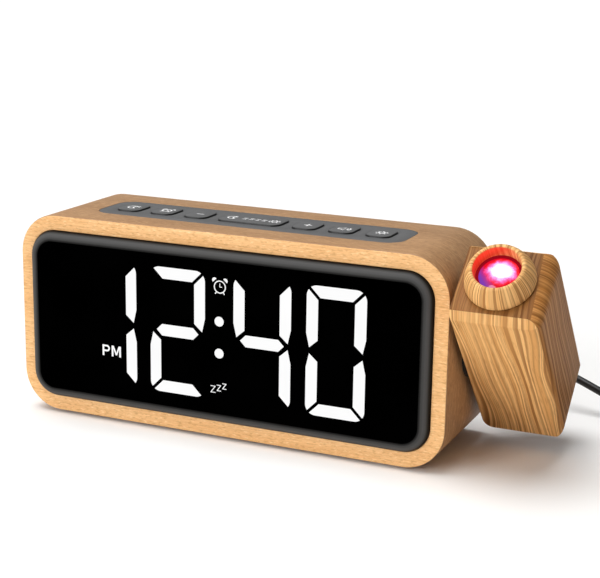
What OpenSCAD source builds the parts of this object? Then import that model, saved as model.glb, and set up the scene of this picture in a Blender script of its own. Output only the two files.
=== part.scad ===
// Projection alarm clock: a rounded wood-look case with a large digit display, a row of
// seven keys on top and a projector head that turns on the right-hand side.
// Millimetres. Origin: centre of the case's footprint, on the surface it stands on.
// +X to the viewer's right, +Y to the back, +Z up.

/* [Case] */
// Length of the case, side to side
case_w = 190; // [180:1:200]
// Height of the case without its foot
case_h = 85; // [82:1:92]
// Depth of the case, front to back
case_d = 57; // [55:1:64]
// Radius of the four long edges
case_r = 17; // [15:0.5:18]
// Thickness of the case's walls
wall = 3; // [2.5:0.5:3.5]
// Thickness of the rubber pad under the case
foot_h = 1; // [0.8:0.2:2]

/* [Front panel] */
// Width of the black front panel
panel_w = 177.6; // [174:0.2:178]
// Height of the black front panel
panel_h = 71.8; // [70:0.2:73]
// How far the panel stands out of the case, which is also its edge radius
panel_proud = 3; // [2:0.5:3.5]

/* [Digits] */
// Width of one digit
digit_w = 25.4; // [22:0.2:26]
// Height of one digit
digit_h = 53; // [48:0.5:54]
// Width of a digit's bars
bar_t = 5.2; // [4.6:0.1:5.6]
// Distance from the display's middle to the inner digits' middles
digit_near = 18.9; // [18:0.1:20]
// Distance from the display's middle to the outer digits' middles
digit_far = 50.5; // [49.5:0.1:52]

/* [Keys] */
// Length of the key strip
strip_w = 137.6; // [136:0.2:142]
// Depth of the key strip, front to back
strip_d = 28.7; // [26:0.1:30]
// Width of a small key
key_w = 10.5; // [9.5:0.1:11]
// Width of the wide key in the middle
wide_key_w = 28; // [26:0.5:30]
// Depth of the keys, front to back
key_d = 14.2; // [13:0.1:15]
// Distance between small keys
key_pitch = 16; // [15.6:0.1:16.2]
// How far the keys stand out of the strip
key_proud = 0.6; // [0.5:0.1:1]
// How far a key travels when it is pressed
key_travel = 0.5; // [0.4:0.1:0.6]

/* [Projector head] */
// Width of the head, side to side
head_w = 34.2; // [34:0.2:36]
// Depth of the head, across its upright position
head_d = 33.6; // [33:0.2:35]
// Height of the head without its nozzle
head_h = 82; // [80:1:84]
// Gap between the case and the head
head_gap = 2.4; // [2.2:0.1:3]
// Angle that the head's top leans to the front at rest
head_lean = 42; // [0:1:90]
// Height of the nozzle above the head
nozzle_h = 9; // [8:0.5:10]
// Radius of the nozzle at its foot
nozzle_foot_r = 13.5; // [13.2:0.1:13.8]
// Radius of the nozzle at its rim
nozzle_rim_r = 10.9; // [10.6:0.1:11.4]
// Radius of the nozzle's mouth
mouth_r = 8.9; // [8.8:0.1:9]

/* [Power cord] */
// Diameter of the cord
cord_d = 3.4; // [3.2:0.1:3.5]
// Radius of the coil's outermost turn, at the middle of the cord
coil_out_r = 24.2; // [24:0.1:26]
// Distance between turns side by side in the coil
turn_pitch = 4.3; // [4.3:0.1:4.4]
// Distance between the coil's layers
layer_pitch = 4.2; // [4.2:0.1:4.5]

/* [Hidden] */
$fn = 48;

// Heights and planes of the case
mid_z = foot_h + case_h / 2;
top_z = foot_h + case_h;
front_y = -case_d / 2;
back_y = case_d / 2;
side_x = case_w / 2;
panel_z = 0.05;
panel_front_y = front_y - panel_proud;
panel_plate = 2.5;
panel_rim = 3;
panel_back_y = front_y + 4.5;
ledge = 2.5;
ledge_t = 2;
cavity_y = panel_back_y + ledge_t;
panel_r = 11;
fit_gap = 0.1;

// Digits and marks
digit_z = 0.5;
digit_corner_r = 4.5;
bar_gap = 0.7;
dot_r = 2.15;
dot_z = 6.65;
mark_spots = [[0.3, 21.4, 9], [0, -21, 9], [-50.3, -11.7, 11]];
light_back_y = panel_front_y + panel_plate;
clock_digits = ["bc", "abged", "fgbc", "abcdef"];
digit_x = [-digit_far, -digit_near, digit_near, digit_far];

// Display stack behind the panel
film_t = 0.4;
reflector_t = 8;
reflector_w = 165;
reflector_h = 59;
reflector_r = 4.5;
display_screw = [79, 26];
board_t = 1.6;
film_y = light_back_y + 0.1;
reflector_y = film_y + film_t + 0.1;
display_board_y = reflector_y + reflector_t + 0.05;
led_h = 1;

// Rear cover, boards and battery
cover_t = 2.5;
cover_in = 1;
cover_y1 = back_y - cover_in;
cover_y0 = cover_y1 - cover_t;
cover_gap = 0.15;
boss_r = 4;
boss_c = [case_w / 2 - case_r + 7.2, case_h / 2 - case_r + 7.2];
main_y = 11;
main_x = [-28, 80.8];
main_z = [-35, 4];
standoffs = [[-20, -30], [40, -30], [78, -1]];
socket_x = 62;
socket_z = 26;
socket_bore_r = 2.85;
speaker_x = -55;
speaker_r = 14;
cell_x = 14;
cell_z = mid_z + 12;
cell_r = 10;
cell_t = 3.2;
door_w = 26;
door_h = 24;
door_t = 1.2;
door_slide = 18;

// Keys
strip_t = 2;
strip_r = 8;
strip_gap = 0.15;
strip_ledge = 2;
key_r = 3.5;
key_y = 0;
key_gap = 0.2;
snooze_x = -0.2;
first_key = 24.6;
key_x = [for (i = [-3:3]) i == 0 ? snooze_x : snooze_x + sign(i) * (first_key + (abs(i) - 1) * key_pitch)];
flange_t = 1;
flange_out = 0.8;
stem_z = top_z - 5.6;
stem_r = 2;
mat_t = 0.6;
mat_z = stem_z - key_travel - 0.2 - mat_t;
switch_h = 0.8;
key_board_z = mat_z - switch_h - board_t;
key_post = [70, 8];

// Pivot
shaft_r = 7;
shaft_bore_r = 4.2;
shaft_gap = 0.05;
collar_r = 10.9;
collar_t = 1.2;
bush_r = 9.4;
bush_x = side_x - 9;
spring_t = 1;
clip_t = 1;
groove_r = 6.2;
shaft_x = bush_x - spring_t - clip_t - 1.6;

// Head, in its own frame: y runs to its back and z to its top when it stands upright
head_x0 = side_x + head_gap;
head_x1 = head_x0 + head_w;
head_back = 3.6;
head_up = 2.3;
head_wall = 2.4;
head_edge = 2.8;
head_corner_r = 3.5;
head_inner_r = 1.5;
head_toe_r = 9;
head_outer_r = 8;
head_cover_t = 2;
head_inside_z = head_h / 2 - head_edge - head_wall;
head_mouth_z = [head_toe_r - head_h / 2, head_inside_z];
head_screw_y = head_d / 2 - 4.9;
head_screw_z = [head_mouth_z[0] + 2.5, head_mouth_z[1] - 2.5];
nozzle_x = head_x0 + head_w / 2 - 1.4;
nozzle_y = 1;
shank_r = 11.9;
shank_gap = 0.06;
seam = 0.2;
barrel_r = 9.5;
barrel_gap = 0.06;
barrel_l = 14;
barrel_drop = 2.2;
neck_r = mouth_r - 0.15;
neck_l = 6.4;
lens_r = 8.05;
lens_bulge = 2.6;
lens_edge = 2.4;
lens_clear_r = 7.6;
lens_ring_t = 0.6;
shoulder_z = head_h / 2 - barrel_drop;
lens_z = shoulder_z + neck_l - lens_ring_t - 0.05 - lens_edge;
tube_r = 10.5;
tube_bore_r = 8.6;
tube_z = [2, 20];
board_corner = [nozzle_x - 10, nozzle_y - 11, -8.4];
cable_r = 1.8;

// Cord: from the plug's boot, behind the head and down to the coil on the surface
plug_r = 4.8;
plug_l = 15;
boot_l = 12;
cord_r = cord_d / 2;
cord_sides = 8;
coil_sides = 6;
ring_per_turn = 24;
spiral_turns = 2.4375;
climb_turns = 0.5;
layers = 4;
coil_c = [170, 69.5 - coil_out_r];
coil_z = cord_r + 0.5;
boot_tip = [socket_x, cover_y1 + plug_l + boot_l + 0.1, socket_z];
cord_route = [
    boot_tip, boot_tip + [0, cord_d, 0],
    [62.6, 63, 25.9], [65, 68.4, 25.6], [69.2, 73, 25], [75, 76.2, 24.2],
    [82, 77.8, 23.2], [90, 78, 22], [98, 77.2, 20.6], [106, 76, 18.9], [114, 74.4, 16.9],
    [122, 72.6, 14.6], [130, 71, 11.9], [138, 69.8, 8.9], [146, 69.2, 5.9], [153, 69.2, 3.7],
    [159.6, 69.4, 2.4], [coil_c[0] - 2 * cord_d, 69.5, coil_z], [coil_c[0] - cord_d, 69.5, coil_z]];
tail_z = coil_z + (layers - 1) * layer_pitch;
tail_x = coil_c[0] + coil_out_r;
usb_z = 4;
usb_y = 8;
tail_route = [
    [tail_x, coil_c[1] - cord_d, tail_z], [tail_x, coil_c[1] - 2 * cord_d, tail_z],
    [tail_x, 33.5, tail_z - 0.9], [tail_x, 28.5, 11.2], [tail_x, 23.5, 8], [tail_x, 18.5, 5.3],
    [tail_x, usb_y + 2 * cord_d, usb_z + 0.2], [tail_x, usb_y + cord_d, usb_z], [tail_x, usb_y, usb_z]];
usb_body = [15.4, 24, 7.8];
usb_shell_size = [12, 18.6, 4.5];
tie_t = 0.4;
tie_w = 6;

// ---- Helpers ----

module rounded_rect(w, h, r) {
    square([w - 2 * r, h], center = true);
    square([w, h - 2 * r], center = true);
    for (sx = [-1, 1], sy = [-1, 1])
        translate([sx * (w / 2 - r), sy * (h / 2 - r)]) circle(r = r);
}

// A flat drawing, in x and z, made solid between two depths
module between_y(y0, y1) {
    translate([0, y1, 0]) rotate([90, 0, 0]) linear_extrude(y1 - y0) children();
}

// A flat drawing, in y and z, made solid between two side planes
module between_x(x0, x1) {
    translate([x0, 0, 0]) rotate([90, 0, 90]) linear_extrude(x1 - x0) children();
}

module rod_x(x0, x1, r) {
    translate([x0, 0, 0]) rotate([0, 90, 0]) cylinder(h = x1 - x0, r = r);
}

module rod_y(y0, y1, r) {
    translate([0, y0, 0]) rotate([-90, 0, 0]) cylinder(h = y1 - y0, r = r);
}

module case_outline(inset) {
    translate([0, mid_z]) rounded_rect(case_w - 2 * inset, case_h - 2 * inset, case_r - inset);
}

module panel_outline(inset) {
    translate([0, mid_z + panel_z])
        rounded_rect(panel_w - 2 * inset, panel_h - 2 * inset, panel_r - inset);
}

// The head's own frame, leaning about the pivot
module in_head() {
    translate([0, 0, mid_z]) rotate([head_lean, 0, 0]) translate([0, head_back, head_up]) children();
}

module on_pivot() {
    translate([0, 0, mid_z]) children();
}

module on_nozzle() {
    in_head() translate([nozzle_x, nozzle_y, 0]) children();
}

// A pan-head screw along +Y, its head at y = 0 and its tip at y = -l
module screw(l, r, head_r, head_h) {
    rod_y(-l, 0.01, r);
    difference() {
        rod_y(0, head_h, head_r);
        for (a = [0, 90])
            rotate([0, a, 0]) translate([0, head_h, 0]) cube([head_r * 1.3, head_h, head_r * 0.26], center = true);
    }
}

// ---- Swept tubes ----

function unit(v) = v / norm(v);
function heading(path, i) =
    i == 0 ? unit(path[1] - path[0])
    : i == len(path) - 1 ? unit(path[i] - path[i - 1])
    : unit(unit(path[i + 1] - path[i]) + unit(path[i] - path[i - 1]));
function ring_at(path, i, r, sides) =
    let (t = heading(path, i), side = unit(cross(t, [0, 0, 1])), up = cross(side, t))
    [for (k = [0:sides - 1]) path[i] + r * (cos(360 * k / sides) * side + sin(360 * k / sides) * up)];
function tube_faces(rings, sides) = concat(
    [for (i = [0:rings - 2], k = [0:sides - 1])
        [i * sides + k, i * sides + (k + 1) % sides, (i + 1) * sides + (k + 1) % sides]],
    [for (i = [0:rings - 2], k = [0:sides - 1])
        [i * sides + k, (i + 1) * sides + (k + 1) % sides, (i + 1) * sides + k]],
    [for (k = [1:sides - 2]) [0, k + 1, k]],
    [for (k = [1:sides - 2]) [(rings - 1) * sides, (rings - 1) * sides + k, (rings - 1) * sides + k + 1]]);

module tube(path, r, sides) {
    points = [for (i = [0:len(path) - 1]) each ring_at(path, i, r, sides)];
    polyhedron(points = points, faces = tube_faces(len(path), sides), convexity = 10);
}

// The coil winds in, climbs a layer, winds out, climbs again, and so on
phase_turns = spiral_turns + climb_turns;
coil_in_r = coil_out_r - spiral_turns * turn_pitch;
coil_turns = layers * spiral_turns + (layers - 1) * climb_turns;
function coil_radius(layer, s) =
    let (wound = min(s, spiral_turns) * turn_pitch)
    layer % 2 == 0 ? coil_out_r - wound : coil_in_r + wound;
function coil_height(layer, s) =
    coil_z + layer_pitch * (layer + max(0, s - spiral_turns) / climb_turns);
function coil_point(turn) =
    let (
        layer = min(layers - 1, floor(turn / phase_turns)),
        s = turn - layer * phase_turns,
        r = coil_radius(layer, s),
        a = 90 - 360 * turn)
    [coil_c[0] + r * cos(a), coil_c[1] + r * sin(a), coil_height(layer, s)];
coil_wound = [for (i = [0:round(coil_turns * ring_per_turn)]) coil_point(i / ring_per_turn)];
coil_path = concat(
    [[coil_c[0] - cord_d, coil_c[1] + coil_out_r, coil_z]],
    coil_wound,
    [[tail_x, coil_c[1] - cord_d, tail_z]]);
coil_gap = min([for (i = [0:len(coil_path) - 2], j = [i + 10:len(coil_path) - 1])
    norm(coil_path[i] - coil_path[j])]) - cord_d;
function path_length(path) = [for (i = 1, s = norm(path[1] - path[0]); i < len(path);
    i = i + 1, s = s + (i < len(path) ? norm(path[i] - path[i - 1]) : 0)) s][len(path) - 2];
cord_length = path_length(cord_route) + path_length(coil_path) + path_length(tail_route);
echo(coil_gap = coil_gap, cord_length = cord_length, coil_in_r = coil_in_r);

// ---- Digits and marks, drawn about a digit's own middle ----

module top_bar() {
    polygon([
        [-digit_w / 2 + bar_gap, digit_h / 2], [digit_w / 2 - bar_gap, digit_h / 2],
        [digit_w / 2 - bar_t - bar_gap, digit_h / 2 - bar_t],
        [-digit_w / 2 + bar_t + bar_gap, digit_h / 2 - bar_t]]);
}

module side_bar() {
    translate([-digit_w / 2, 0]) polygon([
        [0, digit_h / 2 - bar_gap], [0, 6.9], [1.4, 0.9],
        [bar_t, 4.2], [bar_t, digit_h / 2 - bar_t - bar_gap]]);
}

module middle_bar() {
    polygon([
        [-digit_w / 2 + 2.9, 0], [-digit_w / 2 + 2.9 + bar_t / 2, bar_t / 2],
        [digit_w / 2 - 2.9 - bar_t / 2, bar_t / 2], [digit_w / 2 - 2.9, 0],
        [digit_w / 2 - 2.9 - bar_t / 2, -bar_t / 2], [-digit_w / 2 + 2.9 + bar_t / 2, -bar_t / 2]]);
}

module bar(name) {
    if (name == "a") top_bar();
    if (name == "b") mirror([1, 0]) side_bar();
    if (name == "c") rotate(180) side_bar();
    if (name == "d") mirror([0, 1]) top_bar();
    if (name == "e") mirror([0, 1]) side_bar();
    if (name == "f") side_bar();
    if (name == "g") middle_bar();
}

module digit(bars) {
    intersection() {
        rounded_rect(digit_w, digit_h, digit_corner_r);
        union() for (name = bars) bar(name);
    }
}

module digit_row(patterns) {
    for (i = [0:3])
        translate([digit_x[i], mid_z + digit_z]) digit(patterns[i]);
}

module colon_dots() {
    for (s = [-1, 1])
        translate([0, mid_z + digit_z + s * dot_z]) circle(r = dot_r);
}

module letter_p() {
    square([1, 4.8]);
    difference() {
        translate([0, 1.8]) union() {
            square([2.2, 3]);
            translate([2.2, 1.5]) circle(r = 1.5);
        }
        translate([1, 2.7]) square([1.2, 1.2]);
        translate([2.2, 3.3]) circle(r = 0.6);
    }
}

module letter_m() {
    polygon([[0, 0], [0, 4.8], [1.2, 4.8], [2.3, 2], [3.4, 4.8], [4.6, 4.8], [4.6, 0], [3.6, 0],
        [3.6, 3.1], [2.7, 0.7], [1.9, 0.7], [1, 3.1], [1, 0]]);
}

module sleep_z(w, h) {
    t = 0.45;
    polygon([[0, 0], [w, 0], [w, t], [1.5 * t, t], [w, h - 0.8 * t], [w, h], [0, h], [0, h - t],
        [w - 1.5 * t, h - t], [0, 0.8 * t]]);
}

// A small ringing-bell clock: a ring, two hands, two bells and two feet
module bell_clock() {
    difference() {
        circle(r = 2.75);
        circle(r = 2.15);
    }
    translate([-0.22, -0.22]) square([0.44, 1.75]);
    translate([-0.22, -0.22]) square([1.3, 0.44]);
    for (s = [-1, 1]) {
        rotate(s * 42) translate([0, 3.55]) difference() {
            circle(r = 1.15);
            translate([-1.2, -1.25]) square([2.4, 1.1]);
        }
        rotate(s * 145) translate([-0.28, 2.6]) square([0.56, 1.1]);
    }
}

module display_marks() {
    translate([-54.5, mid_z - 14.1]) {
        letter_p();
        translate([4.4, 0]) letter_m();
    }
    translate([0.3, mid_z + 21.4]) bell_clock();
    translate([-3.9, mid_z - 23]) sleep_z(2.4, 3.1);
    translate([-1.1, mid_z - 22.1]) sleep_z(2.1, 2.8);
    translate([1.4, mid_z - 21]) sleep_z(2, 2.6);
}

// ---- Case ----

module case_sleeve() {
    color("burlywood") difference() {
        union() {
            difference() {
                between_y(front_y, back_y) case_outline(0);
                between_y(front_y - 1, panel_back_y) panel_outline(-fit_gap);
                between_y(panel_back_y - 1, cavity_y) panel_outline(ledge);
                between_y(cavity_y - 0.01, back_y + 1) case_outline(wall);
            }
            for (sx = [-1, 1], sz = [-1, 1])
                translate([sx * boss_c[0], 0, mid_z + sz * boss_c[1]])
                    rod_y(cavity_y - 0.5, cover_y0 - 0.05, boss_r);
            for (sx = [-1, 1], sy = [-1, 1])
                translate([sx * key_post[0], sy * key_post[1], key_board_z + board_t])
                    cylinder(h = top_z - wall + 0.5 - key_board_z - board_t, r = 2.5);
        }
        for (sx = [-1, 1], sz = [-1, 1])
            translate([sx * boss_c[0], 0, mid_z + sz * boss_c[1]]) rod_y(8, back_y, 1.2);
        for (sx = [-1, 1], sy = [-1, 1])
            translate([sx * key_post[0], sy * key_post[1], key_board_z]) cylinder(h = 5.2, r = 0.9);
        translate([0, 0, top_z - strip_t]) linear_extrude(strip_t + 1)
            rounded_rect(strip_w + 2 * strip_gap, strip_d + 2 * strip_gap, strip_r + strip_gap);
        translate([0, 0, top_z - wall - 1]) linear_extrude(wall + 1)
            rounded_rect(strip_w - 2 * strip_ledge, strip_d - 2 * strip_ledge, strip_r - strip_ledge);
        on_pivot() rod_x(side_x - wall - 1, side_x + 1, bush_r);
    }
}

module foot_pad() {
    color("dimgray") linear_extrude(foot_h) rounded_rect(case_w - 2 * case_r, case_d - 6, 8);
}

module front_panel() {
    edge = panel_proud;
    flat_r = panel_r - edge;
    color("black") difference() {
        union() {
            between_y(front_y, panel_back_y) panel_outline(0);
            between_y(panel_front_y, front_y + 0.5) panel_outline(edge);
            for (sx = [-1, 1], sz = [-1, 1])
                translate([sx * (panel_w / 2 - panel_r), front_y, mid_z + panel_z + sz * (panel_h / 2 - panel_r)])
                    rotate([90, 0, 0]) rotate_extrude() translate([flat_r, 0]) circle(r = edge);
            for (sz = [-1, 1])
                translate([0, front_y, mid_z + panel_z + sz * (panel_h / 2 - edge)])
                    rod_x(panel_r - panel_w / 2, panel_w / 2 - panel_r, edge);
            for (sx = [-1, 1])
                translate([sx * (panel_w / 2 - edge), front_y, mid_z + panel_z - panel_h / 2 + panel_r])
                    cylinder(h = panel_h - 2 * panel_r, r = edge);
        }
        between_y(light_back_y, panel_back_y + 1) panel_outline(edge + panel_rim);
        between_y(panel_front_y - 1, light_back_y + 1) {
            digit_row(clock_digits);
            colon_dots();
            display_marks();
        }
    }
}

module digit_lights() {
    color("white") between_y(panel_front_y, light_back_y) digit_row(clock_digits);
}

module colon_lights() {
    color("white") between_y(panel_front_y, light_back_y) colon_dots();
}

module mark_lights() {
    color("white") between_y(panel_front_y, light_back_y) display_marks();
}

// ---- Display stack ----

module diffuser_film() {
    color("whitesmoke") between_y(film_y, film_y + film_t)
        translate([0, mid_z]) rounded_rect(reflector_w, reflector_h, reflector_r);
}

module segment_reflector() {
    color("gainsboro") difference() {
        between_y(reflector_y, reflector_y + reflector_t) difference() {
            translate([0, mid_z]) rounded_rect(reflector_w, reflector_h, reflector_r);
            digit_row(["abcdefg", "abcdefg", "abcdefg", "abcdefg"]);
            colon_dots();
            for (spot = mark_spots)
                translate([spot[0], mid_z + spot[1]]) rounded_rect(spot[2], 6.4, 2);
        }
        at_display_screws() rod_y(reflector_y + 2, reflector_y + reflector_t + 1, 1.05);
    }
}

module at_display_screws() {
    for (sx = [-1, 1], sz = [-1, 1])
        translate([sx * display_screw[0], 0, mid_z + sz * display_screw[1]]) children();
}

module display_board() {
    color("darkgreen") difference() {
        between_y(display_board_y, display_board_y + board_t)
            translate([0, mid_z]) rounded_rect(reflector_w, reflector_h, 3);
        at_display_screws() rod_y(display_board_y - 1, display_board_y + 3, 1.2);
    }
}

module display_leds() {
    bar_x = digit_w / 2 - bar_t / 2;
    bar_z = digit_h / 4;
    spots = [[0, digit_h / 2 - bar_t / 2], [bar_x, bar_z], [bar_x, -bar_z], [0, bar_t / 2 - digit_h / 2],
        [-bar_x, -bar_z], [-bar_x, bar_z], [0, 0]];
    color("lightyellow") {
        for (x = digit_x, s = spots)
            translate([x + s[0], display_board_y - led_h / 2, mid_z + digit_z + s[1]])
                cube([2.2, led_h, 2.8], center = true);
        for (s = [-1, 1])
            translate([0, display_board_y - led_h / 2, mid_z + digit_z + s * dot_z])
                cube([1.6, led_h, 1.6], center = true);
        for (spot = mark_spots)
            translate([spot[0], display_board_y - led_h / 2, mid_z + spot[1]])
                cube([2.8, led_h, 2.2], center = true);
    }
}

// ---- Boards, speaker, battery and socket ----

module main_board() {
    color("darkgreen") difference() {
        translate([main_x[0], main_y, mid_z + main_z[0]])
            cube([main_x[1] - main_x[0], board_t, main_z[1] - main_z[0]]);
        for (p = standoffs)
            translate([p[0], 0, mid_z + p[1]]) rod_y(main_y - 1, main_y + 3, 1.3);
    }
}

module board_chips() {
    chips = [[-10, -14, 12, 12, 1.6], [14, -24, 7, 5, 1.5], [26, -10, 5, 9, 1.5], [52, -24, 8, 6, 2.4],
        [30, -28, 4, 3, 1.2], [2, -30, 5, 3, 1.2]];
    color("black") for (c = chips)
        translate([c[0], main_y - c[4] / 2, mid_z + c[1]]) cube([c[2], c[4], c[3]], center = true);
}

module cable_socket() {
    color("ivory") translate([64, -3.2, mid_z - 3.2]) cube([7.6, main_y + 3.2, 6.4]);
}

module board_screws() {
    color("silver") {
        for (p = standoffs)
            translate([p[0], main_y, mid_z + p[1]]) rotate([180, 0, 0]) screw(7, 1.1, 2.2, 1.4);
        at_display_screws() translate([0, display_board_y + board_t, 0]) screw(6.5, 1, 2, 1.3);
        for (sx = [-1, 1], sy = [-1, 1])
            translate([sx * key_post[0], sy * key_post[1], key_board_z]) rotate([-90, 0, 0]) screw(5, 0.8, 1.8, 1.2);
    }
}

module speaker() {
    color("dimgray") translate([speaker_x, 0, mid_z]) {
        difference() {
            rod_y(cover_y0 - 4, cover_y0 - 0.1, speaker_r);
            rod_y(cover_y0 - 2.6, cover_y0 + 1, speaker_r - 2);
        }
        rod_y(cover_y0 - 9, cover_y0 - 3.9, speaker_r * 0.62);
        translate([0, cover_y0 - 2.8, 0]) intersection() {
            translate([0, -4.6, 0]) sphere(r = 6.4);
            rod_y(0, 4, 5);
        }
    }
}

module rear_cover() {
    door_y = cover_y1 - door_t - 0.1;
    color("saddlebrown") difference() {
        union() {
            between_y(cover_y0, cover_y1) case_outline(wall + cover_gap);
            for (p = standoffs)
                translate([p[0], 0, mid_z + p[1]]) rod_y(main_y + board_t + 0.05, cover_y0 + 0.5, 3);
            for (s = [-1, 1])
                translate([cell_x - door_slide / 2, cover_y1 + 0.3, cell_z + s * (door_h / 2 + 0.3)])
                    cube([door_w + door_slide + 2, 0.7, 3], center = true);
        }
        for (sx = [-1, 1], sz = [-1, 1])
            translate([sx * boss_c[0], 0, mid_z + sz * boss_c[1]]) {
                rod_y(cover_y0 - 1, cover_y1 + 1, 1.7);
                rod_y(cover_y1 - 1, cover_y1 + 1, 3.2);
            }
        for (p = standoffs)
            translate([p[0], 0, mid_z + p[1]]) rod_y(main_y, cover_y0 - 3, 1.15);
        for (i = [-4:4])
            translate([speaker_x, cover_y1, mid_z + i * 2.8]) {
                half = sqrt(pow(speaker_r - 2, 2) - pow(i * 2.8, 2));
                cube([2 * half - 1.4, 3 * cover_t, 1.4], center = true);
            }
        translate([socket_x, 0, socket_z]) rod_y(cover_y0 - 1, cover_y1 + 1, 4.3);
        translate([cell_x - door_slide / 2 - (door_w + door_slide + 0.4) / 2, door_y - 0.1, cell_z - door_h / 2 - 0.2])
            cube([door_w + door_slide + 0.4, door_t + 0.2, door_h + 0.4]);
        translate([cell_x - door_slide / 2, cover_y1, cell_z])
            cube([door_w + door_slide + 0.4, 2, door_h - 2.4], center = true);
        translate([cell_x, 0, cell_z]) rod_y(cover_y0 - 1, cover_y1 + 1, cell_r + 0.5);
    }
}

module rear_screws() {
    color("silver") for (sx = [-1, 1], sz = [-1, 1])
        translate([sx * boss_c[0], cover_y1 - 1, mid_z + sz * boss_c[1]]) screw(10, 1.1, 2.9, 1.5);
}

module battery_door() {
    color("saddlebrown") translate([cell_x, cover_y1 - door_t / 2 - 0.1, cell_z]) {
        cube([door_w, door_t, door_h], center = true);
        for (i = [-3:3])
            translate([i * 1.6, door_t / 2 + 0.15, 0]) cube([0.7, 0.5, 12], center = true);
    }
}

module coin_cell() {
    color("silver") translate([cell_x, 0, cell_z]) {
        rod_y(cover_y0 - 2.2, cover_y0 - 2.2 + cell_t - 0.6, cell_r - 0.9);
        rod_y(cover_y0 - 1.8, cover_y0 - 2.2 + cell_t, cell_r);
    }
}

module cell_holder() {
    color("ivory") translate([cell_x, 0, cell_z]) difference() {
        rod_y(cover_y0 - 4.2, cover_y0 - 0.1, cell_r + 2);
        rod_y(cover_y0 - 2.4, cover_y0 + 1, cell_r + 0.2);
        translate([0, cover_y0 - 1, cell_r]) cube([8, 3, 8], center = true);
    }
}

module dc_socket() {
    color("black") translate([socket_x, 0, socket_z]) difference() {
        union() {
            translate([-4.7, main_y + board_t + 0.05, -5.5]) cube([9.4, cover_y0 - 0.2 - main_y - board_t, 11]);
            rod_y(cover_y0 - 1, cover_y1 - 0.1, 4.2);
        }
        rod_y(cover_y1 - 10.5, cover_y1 + 1, socket_bore_r);
    }
    color("silver") translate([socket_x, 0, socket_z]) rod_y(cover_y1 - 11, cover_y1 - 2, 0.9);
}

// ---- Keys ----

module key_strip() {
    color("dimgray") translate([0, 0, top_z - strip_t]) linear_extrude(strip_t) difference() {
        rounded_rect(strip_w, strip_d, strip_r);
        for (i = [0:6])
            translate([key_x[i], key_y])
                rounded_rect((i == 3 ? wide_key_w : key_w) + 2 * key_gap, key_d + 2 * key_gap, key_r + key_gap);
    }
}

module key(i, w) {
    color("dimgray") translate([key_x[i], key_y, 0]) {
        translate([0, 0, top_z - strip_t - 0.2]) linear_extrude(strip_t + 0.2 + key_proud)
            rounded_rect(w, key_d, key_r);
        translate([0, 0, top_z - strip_t - 0.1 - flange_t]) linear_extrude(flange_t)
            rounded_rect(w + 2 * flange_out, key_d + 2 * flange_out, key_r + flange_out);
        translate([0, 0, stem_z]) cylinder(h = top_z - strip_t - flange_t - stem_z, r = stem_r);
    }
}

module key_sleep() { key(0, key_w); }
module key_alarm() { key(1, key_w); }
module key_minus() { key(2, key_w); }
module key_snooze() { key(3, wide_key_w); }
module key_plus() { key(4, key_w); }
module key_sound() { key(5, key_w); }
module key_light() { key(6, key_w); }

module key_mat() {
    color("lightgray") translate([0, 0, mat_z]) linear_extrude(mat_t) rounded_rect(132, 14, 3);
}

module key_board() {
    color("darkgreen") translate([0, 0, key_board_z]) difference() {
        linear_extrude(board_t) rounded_rect(148, 22, 2);
        for (sx = [-1, 1], sy = [-1, 1])
            translate([sx * key_post[0], sy * key_post[1], -1]) cylinder(h = 4, r = 1);
    }
}

module key_switches() {
    color("silver") for (x = key_x)
        translate([x, key_y, key_board_z + board_t + (switch_h - 0.05) / 2])
            cube([4.2, 4.2, switch_h - 0.05], center = true);
}

// ---- Pivot ----

module pivot_bush() {
    color("black") on_pivot() difference() {
        union() {
            rod_x(side_x, side_x + collar_t - 0.1, collar_r);
            rod_x(bush_x, side_x + 0.1, bush_r);
        }
        rod_x(bush_x - 1, side_x + collar_t + 1, shaft_r + shaft_gap);
    }
}

module pivot_shaft() {
    color("gray") on_pivot() difference() {
        union() {
            rod_x(shaft_x, head_x0 + head_cover_t + 0.5, shaft_r);
            rod_x(head_x0 + head_cover_t, head_x0 + head_cover_t + 2, 10.5);
        }
        rod_x(shaft_x - 1, head_x0 + head_cover_t + 3, shaft_bore_r);
        difference() {
            rod_x(bush_x - spring_t - clip_t - 0.1, bush_x - spring_t, shaft_r + 1);
            rod_x(bush_x - spring_t - clip_t - 1, bush_x, groove_r);
        }
    }
}

module pivot_washer() {
    color("black") on_pivot() difference() {
        rod_x(side_x + collar_t, head_x0, collar_r);
        rod_x(side_x, head_x0 + 1, shaft_r);
    }
}

module pivot_spring() {
    color("silver") on_pivot() difference() {
        rod_x(bush_x - spring_t + 0.1, bush_x - 0.1, 9.2);
        rod_x(bush_x - spring_t - 1, bush_x + 1, shaft_r);
    }
}

module pivot_clip() {
    color("silver") on_pivot() difference() {
        rod_x(bush_x - spring_t - clip_t, bush_x - spring_t, 9.6);
        rod_x(bush_x - spring_t - clip_t - 1, bush_x, groove_r);
        translate([bush_x - spring_t - clip_t / 2, 0, -8]) cube([3, 7, 10], center = true);
    }
}

// ---- Head ----

// Seen from above: square inner edges towards the case, round outer ones
module head_plan(inset) {
    w = head_w - 2 * inset;
    d = head_d - 2 * inset;
    ro = head_corner_r - inset;
    ri = head_inner_r;
    translate([head_x0 + head_w / 2, 0]) {
        square([w - 2 * ro, d], center = true);
        translate([ri - w / 2, -d / 2]) square([ro, d]);
        translate([-w / 2, ri - d / 2]) square([w, d - 2 * ri - (ro - ri)]);
        translate([-w / 2, ro - d / 2]) square([w, d - 2 * ro]);
        translate([-w / 2, ri - d / 2]) square([w / 2, d - 2 * ri]);
        for (s = [-1, 1]) {
            translate([w / 2 - ro, s * (d / 2 - ro)]) circle(r = ro);
            translate([ri - w / 2, s * (d / 2 - ri)]) circle(r = ri);
        }
    }
}

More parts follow.
